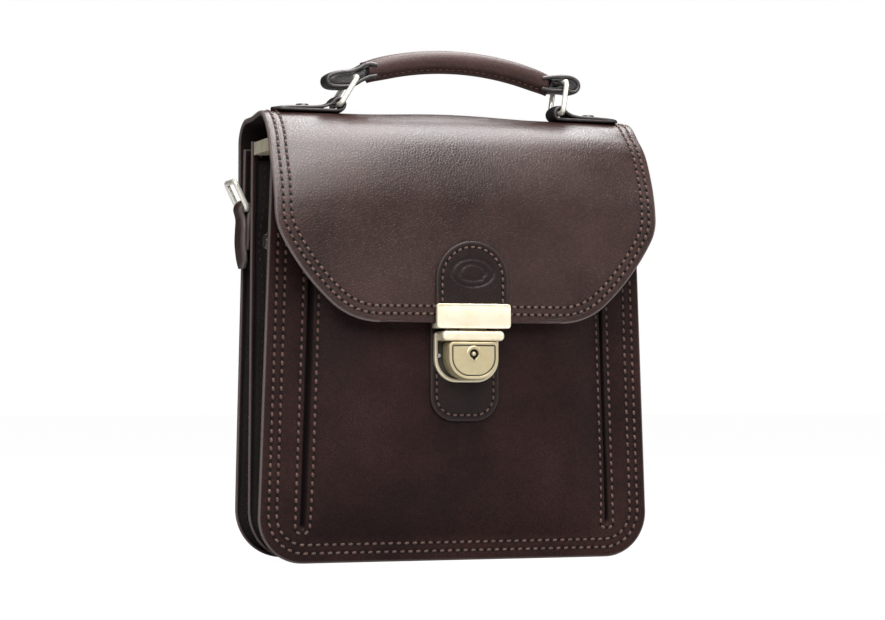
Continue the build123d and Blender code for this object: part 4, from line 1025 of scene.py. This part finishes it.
upper_seam = inset_line(upper_line, patch_seam)
upper_seam = upper_seam[np.argsort(np.arctan2(upper_seam[:, 0], upper_seam[:, 1] - 150.0))]
upper_seam = upper_seam[upper_seam[:, 1] > upper_seam_foot]
sew("upper_patch_stitches", flat_face(flap_face_y - patch_wall), [tuple(upper_seam.T)], "flap",
    pitch=3.9, length=2.7, width=1.25)
lower_seam = inset_line(lower_line, patch_seam)
lower_seam = lower_seam[np.argsort(np.arctan2(lower_seam[:, 0], lower_seam_top - lower_seam[:, 1]))]
lower_seam = lower_seam[lower_seam[:, 1] < lower_seam_top]
sew("lower_patch_stitches", flat_face(pocket_face_y - patch_wall), [tuple(lower_seam.T)], "case",
    pitch=3.9, length=2.7, width=1.25)

# ---------------------------------------------------------------- lock
# Die-cast zinc, plated pale antique brass and brushed. A rimmed base plate and a bar stand
# on the front, a thumb piece slides between them, and a plate caps the flap's edge.
patch_y = pocket_face_y - patch_wall
base_half = 18.75
base_foot = 98.4
base_top = 126.5
base_height = 3.0
bar_half = 18.0
bar_foot = 121.0
bar_height = 14.6
thumb_half = 14.3
thumb_foot = 100.0
thumb_top = 120.5
thumb_back_y = -31.3
thumb_height = 11.2
barrel_z = 113.9
barrel_radius = 4.6
hasp_half = 21.5
hasp_foot = 127.8
hasp_top = 141.3
hasp_height = 2.8
hasp_bow_z = 133.5
hasp_bow_reach = 7.0
pale_brass = (0.88, 0.8, 0.62)
old_brass = (0.6, 0.5, 0.32)

# Satin wear: fine brushing in one direction, and soft patches where the plating is dull.
satin_wear, satin_in, satin_out = new_group(
    "satin_wear", [("Vector", "NodeSocketVector"), ("Stretch", "NodeSocketVector")],
    ["Brushing", "Dullness"])
stretched = add_node(satin_wear, "ShaderNodeVectorMath", {"operation": "MULTIPLY"},
                     _0=satin_in["Vector"], _1=satin_in["Stretch"])
brush_lines = add_node(satin_wear, "ShaderNodeTexNoise", None, Vector=stretched.outputs[0],
                       Scale=1.0, Detail=3.0)
dull_patches = add_node(satin_wear, "ShaderNodeTexNoise", None, Vector=satin_in["Vector"],
                        Scale=130.0, Detail=4.0)
satin_wear.links.new(brush_lines.outputs[0], satin_out["Brushing"])
satin_wear.links.new(spread(satin_wear, dull_patches.outputs[0], 0.4, 0.72), satin_out["Dullness"])


def plated_metal(name, bright, dull, gloss=0.34, stretch=(260.0, 900.0, 3400.0), brushing=0.2,
                 metal=0.5):
    """Plated metal: brushed along X, duller in patches, and painted nearly black in its hollows as shade.
    """
    material, tree, shader, place = new_material(name)
    wear = add_node(tree, "ShaderNodeGroup", {"node_tree": satin_wear}, Vector=place, Stretch=stretch)
    at_hollow_shade = mask(tree, "hollow_shade")
    colour = tint(tree, reckon(tree, "MULTIPLY", wear.outputs["Dullness"], 0.55), part_of(bright),
                  part_of(dull))
    # Painted shade: the hollow mask tints recesses, grooves and the keyhole nearly black.
    colour = tint(tree, at_hollow_shade, colour, (0.018, 0.015, 0.012, 1.0))
    dullness = reckon(tree, "MULTIPLY_ADD", wear.outputs["Brushing"], 0.14, gloss - 0.07)
    dullness = reckon(tree, "MULTIPLY_ADD", wear.outputs["Dullness"], 0.12, dullness)
    dullness = reckon(tree, "MULTIPLY_ADD", at_hollow_shade, 0.3, dullness)
    bump = add_node(tree, "ShaderNodeBump", None, Strength=brushing, Distance=0.00005,
                    Height=wear.outputs["Brushing"])
    fill_inputs(tree, shader, Base_Color=colour, Metallic=metal, Roughness=dullness,
                Normal=bump.outputs[0])
    return material


lock_brass = plated_metal("lock_brass", pale_brass, old_brass)
base_brass = plated_metal("base_brass", (0.72, 0.65, 0.5), (0.5, 0.43, 0.3), metal=0.6)
thumb_brass = plated_metal("thumb_brass", (0.56, 0.48, 0.3), (0.42, 0.34, 0.19), metal=0.6)


def cast_section(height, radius=0.8, back=0.3):
    """A flat back, straight walls and a rounded front edge."""
    swing = np.linspace(0.0, np.pi / 2.0, 5)
    return ([(back, 0.0), (0.0, 0.3), (0.0, height - radius)]
            + [(radius * (1.0 - np.cos(a)), height - radius * (1.0 - np.sin(a))) for a in swing[1:]])


def between(low, high, soft=0.25):
    """A mask of insets between two values."""
    return lambda inset: smooth_step(inset, low - soft, low) * (1.0 - smooth_step(inset, high, high + soft))


base_line = shield_outline(base_half, base_foot, base_top, 13.0, 2.5)
base_section = cast_section(base_height, 0.6) + [(1.7, base_height), (2.0, base_height - 0.5),
                                                 (2.15, 1.0), (2.4, 0.9)]
# The sunk middle inside the rim is painted nearly black: painted shade.
base_plate = plate_piece("base_plate", base_line, patch_y, base_section, base_brass, None,
                         {"hollow_shade": lambda inset: 0.92 * smooth_step(inset, 1.9, 2.3)})
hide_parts("lock_base")
bar_line = shield_outline(bar_half, bar_foot, base_top, 2.4, 2.4)
bar_section = cast_section(bar_height, 1.6)
bar_piece = plate_piece("lock_bar", bar_line, patch_y, bar_section, lock_brass)
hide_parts("lock_collar")
for piece in (base_plate, bar_piece):
    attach(piece, "case")


def barrel_bore(x, z):
    """The bore that the barrel turns in, and a faint crown on the whole thumb piece."""
    bore = 1.0 - smooth_step(np.hypot(x, z - barrel_z), barrel_radius - 0.7, barrel_radius - 0.2)
    return -3.0 * bore - 0.45 * (x / thumb_half) ** 2


thumb_line = shield_outline(thumb_half, thumb_foot, thumb_top, 12.0, 2.9)
thumb_groove = ((1.5, 0.0), (1.75, 0.35), (2.1, 0.5), (2.45, 0.35), (2.8, 0.2))
thumb_section = cast_section(thumb_height, 0.9)
thumb_section += [(inset, thumb_height - sunk) for inset, sunk in thumb_groove]
# The groove round the face is painted nearly black: painted shade.
thumb_face = plate_piece("thumb_face", thumb_line, thumb_back_y, thumb_section, thumb_brass,
                         barrel_bore, {"hollow_shade": between(1.7, 2.3, 0.3)}, middle_rings=44)
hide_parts("thumb_piece")
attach(thumb_face, "thumb")


def from_below(turn):
    """How far a turn is from pointing straight down, between minus and plus half a turn."""
    return np.angle(np.exp(1j * (turn + np.pi / 2.0)))


barrel_turn = np.linspace(0.0, 2.0 * np.pi, 73)[:-1]
keyway = 0.35 * near_line(from_below(barrel_turn), 0.28)
barrel_front = thumb_back_y - thumb_height - 0.12
barrel_steps = [(barrel_radius, 8.0, 0.0, 0.0), (barrel_radius, 0.35, 0.0, 0.0),
                (barrel_radius - 0.3, 0.0, 0.0, 0.0), (3.5, 0.0, 0.0, 0.2), (2.7, 0.0, 1.0, 0.3),
                (2.45, 0.25, 1.0, 0.9), (2.4, 2.4, 1.0, 1.0), (1.35, 2.4, 0.3, 1.0),
                (1.15, 0.5, 0.0, 0.3), (0.9, 0.1, 0.0, 0.0), (0.4, 0.0, 0.0, 0.0)]
barrel_rings = []
barrel_shade = []
for radius, depth, keyed, shade in barrel_steps:
    reach = radius * (1.0 + keyway * keyed)
    barrel_rings.append(spots_at(reach * np.cos(barrel_turn), barrel_front + depth,
                                 barrel_z + reach * np.sin(barrel_turn)))
    barrel_shade.append(np.full(72, shade))
barrel_shade = np.concatenate([np.ravel(barrel_shade), [0.0, 0.0]])
points, faces = closed_rings(np.array(barrel_rings))
barrel = make_piece("lock_barrel", points, faces, thumb_brass, {"hollow_shade": barrel_shade})
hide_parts("lock_cylinder")
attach(barrel, "key_barrel")


def hasp_crown(x, z):
    """The cap plate is bowed: its upper and lower edges fall back a little."""
    return -0.7 * ((z - hasp_bow_z) / hasp_bow_reach) ** 2


hasp_line = shield_outline(hasp_half, hasp_foot, hasp_top, 1.8, 1.8)
hasp_base_y = flap_face_y - patch_wall
hasp_face = plate_piece("hasp_face", hasp_line, hasp_base_y, cast_section(hasp_height, 0.8),
                        lock_brass, hasp_crown)
lip_back_y = -33.8
lip_line = shield_outline(hasp_half - 0.2, hasp_foot + 0.1, hasp_foot + 2.9, 0.6, 0.6)
hasp_lip = plate_piece("hasp_lip", lip_line, lip_back_y,
                       cast_section(lip_back_y - hasp_base_y + 0.5, 0.3), lock_brass)
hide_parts("hasp_plate")
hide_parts("hasp_plate")
for piece in (hasp_face, hasp_lip):
    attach(piece, "flap")

# ---------------------------------------------------------------- handle
# A rolled grip: rope inside a leather cover that is sewn along its underside. A narrow
# strap is folded round the ring at each end, and its two leaves hold the grip between them.
grip_ends = np.array([[-49.5, 271.9], [61.0, 268.8]])
grip_peak = np.array([-3.0, 279.7])
grip_radius = 5.75
seam_lip = 1.5
loop_width = 13.0
loop_wall = 2.2
ring_tops = ((-56.461, 267.265), (68.505, 269.825))
loop_reach = (17.3, 10.4)
core_section = ((-5.6, 0.7), (-5.9, 0.97), (-5.2, 1.0), (5.2, 1.0), (5.9, 0.97), (5.6, 0.7))
grip_brown = (0.028, 0.0115, 0.0098)
grip_worn = (0.06, 0.028, 0.024)
strap_black = (0.0042, 0.0032, 0.0031)
strap_worn = (0.0125, 0.0095, 0.009)
grip_leather = leather("grip_leather", grip_brown, grip_worn, gloss=0.42, relief=0.4, shine=0.1,
                       creases=0.3, edge=(0.05, 0.03, 0.026), sheen=0.25)
strap_leather = leather("strap_leather", strap_black, strap_worn, gloss=0.42, relief=0.5, shine=0.2,
                        edge=(0.035, 0.029, 0.028))


def arc_through(first, middle, last):
    """Centre and radius of the circle through three points."""
    rows = np.array([middle - first, last - first]) * 2.0
    right = np.array([middle @ middle - first @ first, last @ last - first @ first])
    centre = np.linalg.solve(rows, right)
    return centre, np.linalg.norm(first - centre)


grip_centre, grip_bend = arc_through(grip_ends[0], grip_peak, grip_ends[1])
grip_angles = np.arctan2(grip_ends[:, 0] - grip_centre[0], grip_ends[:, 1] - grip_centre[1])


def grip_surface(angle, turn):
    """A point round the grip: the arc's point, and a section with a seam lip on its underside."""
    lip = near_line(from_below(turn), 0.17) * seam_lip
    share = (angle - grip_angles[0]) / (grip_angles[1] - grip_angles[0])
    taper = 1.0 - 0.1 * near_line(share, 0.06) - 0.1 * near_line(share - 1.0, 0.06)
    reach = grip_radius * taper * (1.0 - 0.04 * np.sin(turn)) + lip
    out = grip_bend + reach * np.sin(turn)
    return spots_at(grip_centre[0] + out * np.sin(angle), 0.97 * reach * np.cos(turn),
                    grip_centre[1] + out * np.cos(angle))


below = -np.pi / 2.0
grip_turns = np.concatenate([np.linspace(below - 0.5, below + 0.5, 19),
                             np.linspace(below + 0.5, 1.5 * np.pi - 0.5, 42)[1:-1]])
grip_along, grip_round = np.meshgrid(
    np.linspace(grip_angles[0] - 0.004, grip_angles[1] + 0.004, 90), grip_turns, indexing="ij")
grip_rings = grip_surface(grip_along, grip_round)
grip_under = near_line(from_below(grip_round), 0.16)
points, faces = closed_rings(grip_rings)
grip_marks = {"rim": np.concatenate([0.8 * grip_under.ravel(), [0.0, 0.0]])}
grip = make_piece("grip_skin", points, faces, grip_leather, grip_marks)
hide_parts("grip_cover", "grip_rope")
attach(grip, "handle")
grip_seams = [(np.linspace(*grip_angles, 120) * 0.985, np.full(120, -np.pi / 2.0 + side * 0.42))
              for side in (-1.0, 1.0)]
sew("grip_stitches", grip_surface, grip_seams, "handle", outward=-1.0, pitch=3.6, length=2.6,
    width=0.8, holes=False, step=(0.001, 0.02))


def ribbon(name, line, widths, wall, material, crown=0.25):
    """A strap of a wall's thickness, its outer face along a line on the XZ plane.

    Each section is the same flat strip with round edges: it runs across Y, crowned by a
    little in the middle, and the line's own normal carries it inward by the wall.
    """
    heading = np.gradient(line, axis=0)
    heading = heading / np.linalg.norm(heading, axis=1, keepdims=True)
    inward = np.stack([-heading[:, 1], heading[:, 0]], axis=1)
    swing = np.linspace(-np.pi / 2.0, np.pi / 2.0, 7)
    edge = wall / 2.0
    flat = np.linspace(-1.0, 1.0, 9)[1:-1]
    across = np.concatenate([np.full(7, -1.0), flat, np.ones(7), -flat])
    depth = np.concatenate([edge + edge * np.sin(-swing), np.zeros(7), edge + edge * np.sin(swing),
                            np.full(7, wall)])
    sideways = np.concatenate([-edge * np.cos(swing), np.zeros(7), edge * np.cos(swing), np.zeros(7)])
    bulge = crown * (1.0 - across ** 2)
    half = np.broadcast_to(np.asarray(widths, float), (len(line),))[:, None] / 2.0 - edge
    y = across[None, :] * half + sideways[None, :]
    sunk = depth[None, :] - bulge[None, :]
    sections = spots_at(line[:, 0:1] + inward[:, 0:1] * sunk, y, line[:, 1:2] + inward[:, 1:2] * sunk)
    painted = np.tile(np.repeat([0.7, 0.0, 0.7, 0.0], 7), len(line))
    points, faces = closed_rings(sections)
    return make_piece(name, points, faces, material, {"rim": np.append(painted, [0.0, 0.0])})


def spots_along(x, z):
    """Points on the XZ plane from x and z, each an array or one value."""
    return np.stack(np.broadcast_arrays(x, z), axis=-1)


def bowed(points, count):
    """A smooth line through points, by repeated corner cutting, evenly shared out."""
    line = np.asarray(points, float)
    for _ in range(4):
        before, after = line[:-1], line[1:]
        cut = np.stack([0.75 * before + 0.25 * after, 0.25 * before + 0.75 * after], axis=1)
        line = np.concatenate([line[:1], cut.reshape(-1, 2), line[-1:]])
    return share_out(line, np.linspace(0.0, 1.0, count))


for side, label, top, reach, end in ((-1.0, "left", ring_tops[0], loop_reach[0], grip_ends[0]),
                                     (1.0, "right", ring_tops[1], loop_reach[1], grip_ends[1])):
    nose = top[0] + side * reach
    loop_points = [(end[0] - side * 6.0, end[1] + 4.0), (end[0], end[1] + 5.0),
                   (top[0] + side * 1.0, top[1] + 4.6), (top[0] + side * 0.55 * reach, top[1] + 3.9),
                   (nose - side * 0.8, top[1] + 1.4), (nose, top[1] - 2.6),
                   (nose - side * 2.2, top[1] - 5.9), (top[0] + side * 0.5 * reach, top[1] - 6.4),
                   (top[0] + side * 1.0, top[1] - 5.6), (end[0], end[1] - 5.0),
                   (end[0] - side * 6.0, end[1] - 4.0)]
    loop_line = bowed(loop_points, 90)
    loop_line = loop_line[::-1] if side > 0.0 else loop_line
    loop_strap = ribbon("handle_loop_" + label + "_strap", loop_line, loop_width, loop_wall,
                        strap_leather)
    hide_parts("handle_loop_" + label)
    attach(loop_strap, "handle")
    core_line = inset_line(loop_line[3:-3:2], loop_wall - 0.15)
    core_ring = spots_at(core_line[:, 0], 0.0, core_line[:, 1])
    core_middle = core_ring.mean(0)
    core_rings = []
    for depth, share in core_section:
        ring = core_middle + (core_ring - core_middle) * share
        ring[:, 1] = depth
        core_rings.append(ring)
    points, faces = closed_rings(np.array(core_rings))
    loop_core = make_piece("handle_loop_" + label + "_core", points, faces, strap_leather)
    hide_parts("handle_loop_" + label)
    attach(loop_core, "handle")

# ---------------------------------------------------------------- handle straps
# Short straps that lie along the crown. Each is folded round its ring and held by one
# rivet through the crown and the steel plate below it.
ring_foot_x = 66.0
ring_foot_z = 252.0
strap_width = 14.0
strap_wall = 1.6
strap_end = 103.0
strap_tip = 5.0
strap_foot_z = 247.8
strap_fold = 4.2
for side, label in ((-1.0, "left"), (1.0, "right")):
    swing = np.radians(np.linspace(250.0, 25.0, 26))
    fold_x = ring_foot_x + strap_fold * np.cos(swing)
    fold_z = ring_foot_z + strap_fold * np.sin(swing)
    strap_line = np.concatenate([
        spots_along(np.linspace(strap_end - 3.0, ring_foot_x + 1.5, 26), strap_foot_z),
        spots_along(fold_x, fold_z),
        bowed([(fold_x[-1] + 1.0, fold_z[-1] - 0.8), (74.0, 251.4), (80.0, 250.8), (90.0, 250.7),
               (97.0, 250.2), (strap_end, 249.3)], 34)])
    strap_line = strap_line[::-1] * [side, 1.0]
    past_tip = np.clip(np.abs(strap_line[:, 0]) - strap_end + strap_tip, 0.0, None)
    width = strap_width - 0.35 * past_tip ** 2
    strap_line = strap_line if side > 0.0 else strap_line[::-1]
    width = width if side > 0.0 else width[::-1]
    strap = ribbon("crown_strap_" + label, strap_line, width, strap_wall, strap_leather, crown=0.5)
    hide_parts("handle_strap_" + label)
    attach(strap, "case")

# ---------------------------------------------------------------- side tabs
# A strap end on each side, folded round the ring for a shoulder strap and riveted through
# the gusset. Its outer leaf bulges over the panels' edges.
tab_rivet_y = 31.5
tab_width = 18.0
tab_wall = 2.4
side_ring_x = 110.4
side_ring_z = 195.0
tab_foot_z = 162.0
tab_fold = 3.9
tab_inner_width = 14.0
tab_brown = (0.026, 0.0118, 0.0096)
tab_worn = (0.06, 0.031, 0.026)
tab_leather = leather("tab_leather", tab_brown, tab_worn, gloss=0.42, relief=0.5, shine=0.1,
                      creases=0.4, sheen=0.3)
for side, label in ((-1.0, "left"), (1.0, "right")):
    swing = np.radians(np.linspace(-25.0, 215.0, 28))
    fold = spots_along(side_ring_x + tab_fold * np.cos(swing), side_ring_z + tab_fold * np.sin(swing))
    rise = bowed([(111.6, tab_foot_z), (112.4, 168.0), (113.4, 176.0), (113.0, 184.0), (112.8, 189.0),
                  tuple(fold[0] + [-0.25, -0.9])], 46)
    inside = bowed([tuple(fold[-1] + [0.2, -0.8]), (107.9, 188.0), (108.2, 180.0), (108.6, 172.0)], 24)
    tab_line = np.concatenate([rise, fold, inside]) * [side, 1.0]
    outer_z = tab_line[:len(rise), 1]
    width = np.full(len(tab_line), tab_inner_width)
    round_foot = 1.0 - (1.0 - np.clip((outer_z - tab_foot_z) / 7.0, 0.0, 1.0)) ** 2
    width[:len(rise)] = (tab_width * np.sqrt(np.clip(round_foot, 0.1, 1.0))
                         - 4.0 * smooth_step(outer_z, 184.0, 192.0))
    tab_line = tab_line if side > 0.0 else tab_line[::-1]
    width = width if side > 0.0 else width[::-1]
    tab = ribbon("side_tab_" + label + "_strap", tab_line, width, tab_wall, tab_leather, crown=1.6)
    coords = np.empty(len(tab.data.vertices) * 3)
    tab.data.vertices.foreach_get("co", coords)
    coords[1::3] += tab_rivet_y * 0.001
    tab.data.vertices.foreach_set("co", coords)
    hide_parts("side_tab_" + label)
    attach(tab, "case")

# ---------------------------------------------------------------- linings
# Twill glued to the boards inside both compartments, and the pocket behind the front.
twill_brown = (0.022, 0.016, 0.013)
twill_wall = 0.7
lining_gap = 0.9
lining_inset = gusset_flange + fold_depth + gusset_wall + 0.8


def twill(name, colour, threads=1100.0):
    """Twill weave: slanting ribs crossed by finer yarns, in two tones."""
    material, tree, shader, place = new_material(name)
    ribs = add_node(tree, "ShaderNodeTexWave", {"bands_direction": "DIAGONAL"}, Vector=place,
                    Scale=threads, Distortion=0.4)
    yarns = add_node(tree, "ShaderNodeTexWave", {"bands_direction": "X"}, Vector=place,
                     Scale=threads * 1.7, Distortion=0.6)
    slub = add_node(tree, "ShaderNodeTexNoise", None, Vector=place, Scale=90.0, Detail=4.0)
    rib_height = reckon(tree, "MULTIPLY_ADD", yarns.outputs["Fac"], 0.4, ribs.outputs["Fac"])
    tone = tint(tree, ribs.outputs["Fac"], part_of(colour, 0.5), part_of(colour))
    tone = tint(tree, spread(tree, slub.outputs[0], 0.3, 0.75, 0.0, 0.5), tone,
                part_of(colour, 0.45))
    bump = add_node(tree, "ShaderNodeBump", None, Strength=0.6, Distance=0.0002, Height=rib_height)
    fill_inputs(tree, shader, Base_Color=tone, Normal=bump.outputs[0], Roughness=0.9)
    return material


lining_twill = twill("lining_twill", twill_brown)


def back_lining_face(x, z):
    """The lining's front face, just ahead of the back panel."""
    wave = 0.2 * np.sin(x / 21.0) * np.sin(z / 26.0)
    return spots_at(x, back_face_y - back_wall - 0.8 + wave, z)


def divider_rear_face(x, z):
    """The face of the lining behind the divider."""
    return spots_at(x, divider_lean(z) + divider_wall + lining_gap, z)


def divider_front_face(x, z):
    """The face of the lining ahead of the divider."""
    return spots_at(x, divider_lean(z) - lining_gap, z)


def pocket_back_face(x, z):
    """The wall of cloth behind the front pocket."""
    wave = 0.3 * np.sin(x / 24.0) * np.sin(z / 31.0)
    return spots_at(x, front_rim_y + front_wall + 1.3 + wave, z)


for lining_name, lining_face, lining_height, into, lining_node in (
        ("back_twill", back_lining_face, 220.0, 1.0, "back_lining"),
        ("divider_rear_twill", divider_rear_face, 223.0, -1.0, "divider_lining"),
        ("divider_front_twill", divider_front_face, 223.0, 1.0, "divider_lining"),
        ("pocket_twill", pocket_back_face, 222.0, 1.0, "pocket_back")):
    plain_panel(lining_name, lining_face, lining_height, twill_wall, into, lining_node,
                lining_twill, lining_inset)

# ---------------------------------------------------------------- metal and zip as built
# Pieces whose shape is already complete keep it and only take their finish: rings and
# rivets, the zip, and the steel and brass inside the lock.
ring_nickel = plated_metal("ring_nickel", (0.86, 0.84, 0.76), (0.55, 0.5, 0.4), gloss=0.22,
                           stretch=(900.0, 900.0, 900.0), brushing=0.1)
zip_brass = plated_metal("zip_brass", (0.78, 0.72, 0.55), (0.45, 0.39, 0.26), gloss=0.36)
snap_black = plated_metal("snap_black", (0.055, 0.045, 0.043), (0.03, 0.024, 0.022), gloss=0.2,
                          stretch=(500.0, 500.0, 500.0), brushing=0.1)
dull_steel = plated_metal("dull_steel", (0.42, 0.43, 0.45), (0.25, 0.25, 0.26), gloss=0.42)
zip_tape_cloth = twill("zip_tape_cloth", (0.02, 0.015, 0.013), 1500.0)
as_built = {
    ring_nickel: ["ring_left", "ring_right", "side_ring_left", "side_ring_right"],
    zip_brass: ["zip_teeth_front", "zip_teeth_rear", "zip_end_caps", "zip_slider", "zip_pull",
                "catch_plate", "latch_arm", "striker", "lock_cam"],
    snap_black: ["strap_rivets", "side_rivets", "gusset_snaps"],
    dull_steel: ["handle_plate", "lock_backplate", "hasp_backplate", "hasp_rivets", "lock_rivets",
                 "thumb_keeper", "lock_springs"],
    zip_tape_cloth: ["zip_tapes"],
    body_leather: ["slit_welts"],
}
for finish_material, names in as_built.items():
    for node_name in names:
        node = nodes[node_name]
        if not node.material_slots:
            node.data.materials.append(finish_material)
        for node_slot in node.material_slots:
            node_slot.material = finish_material
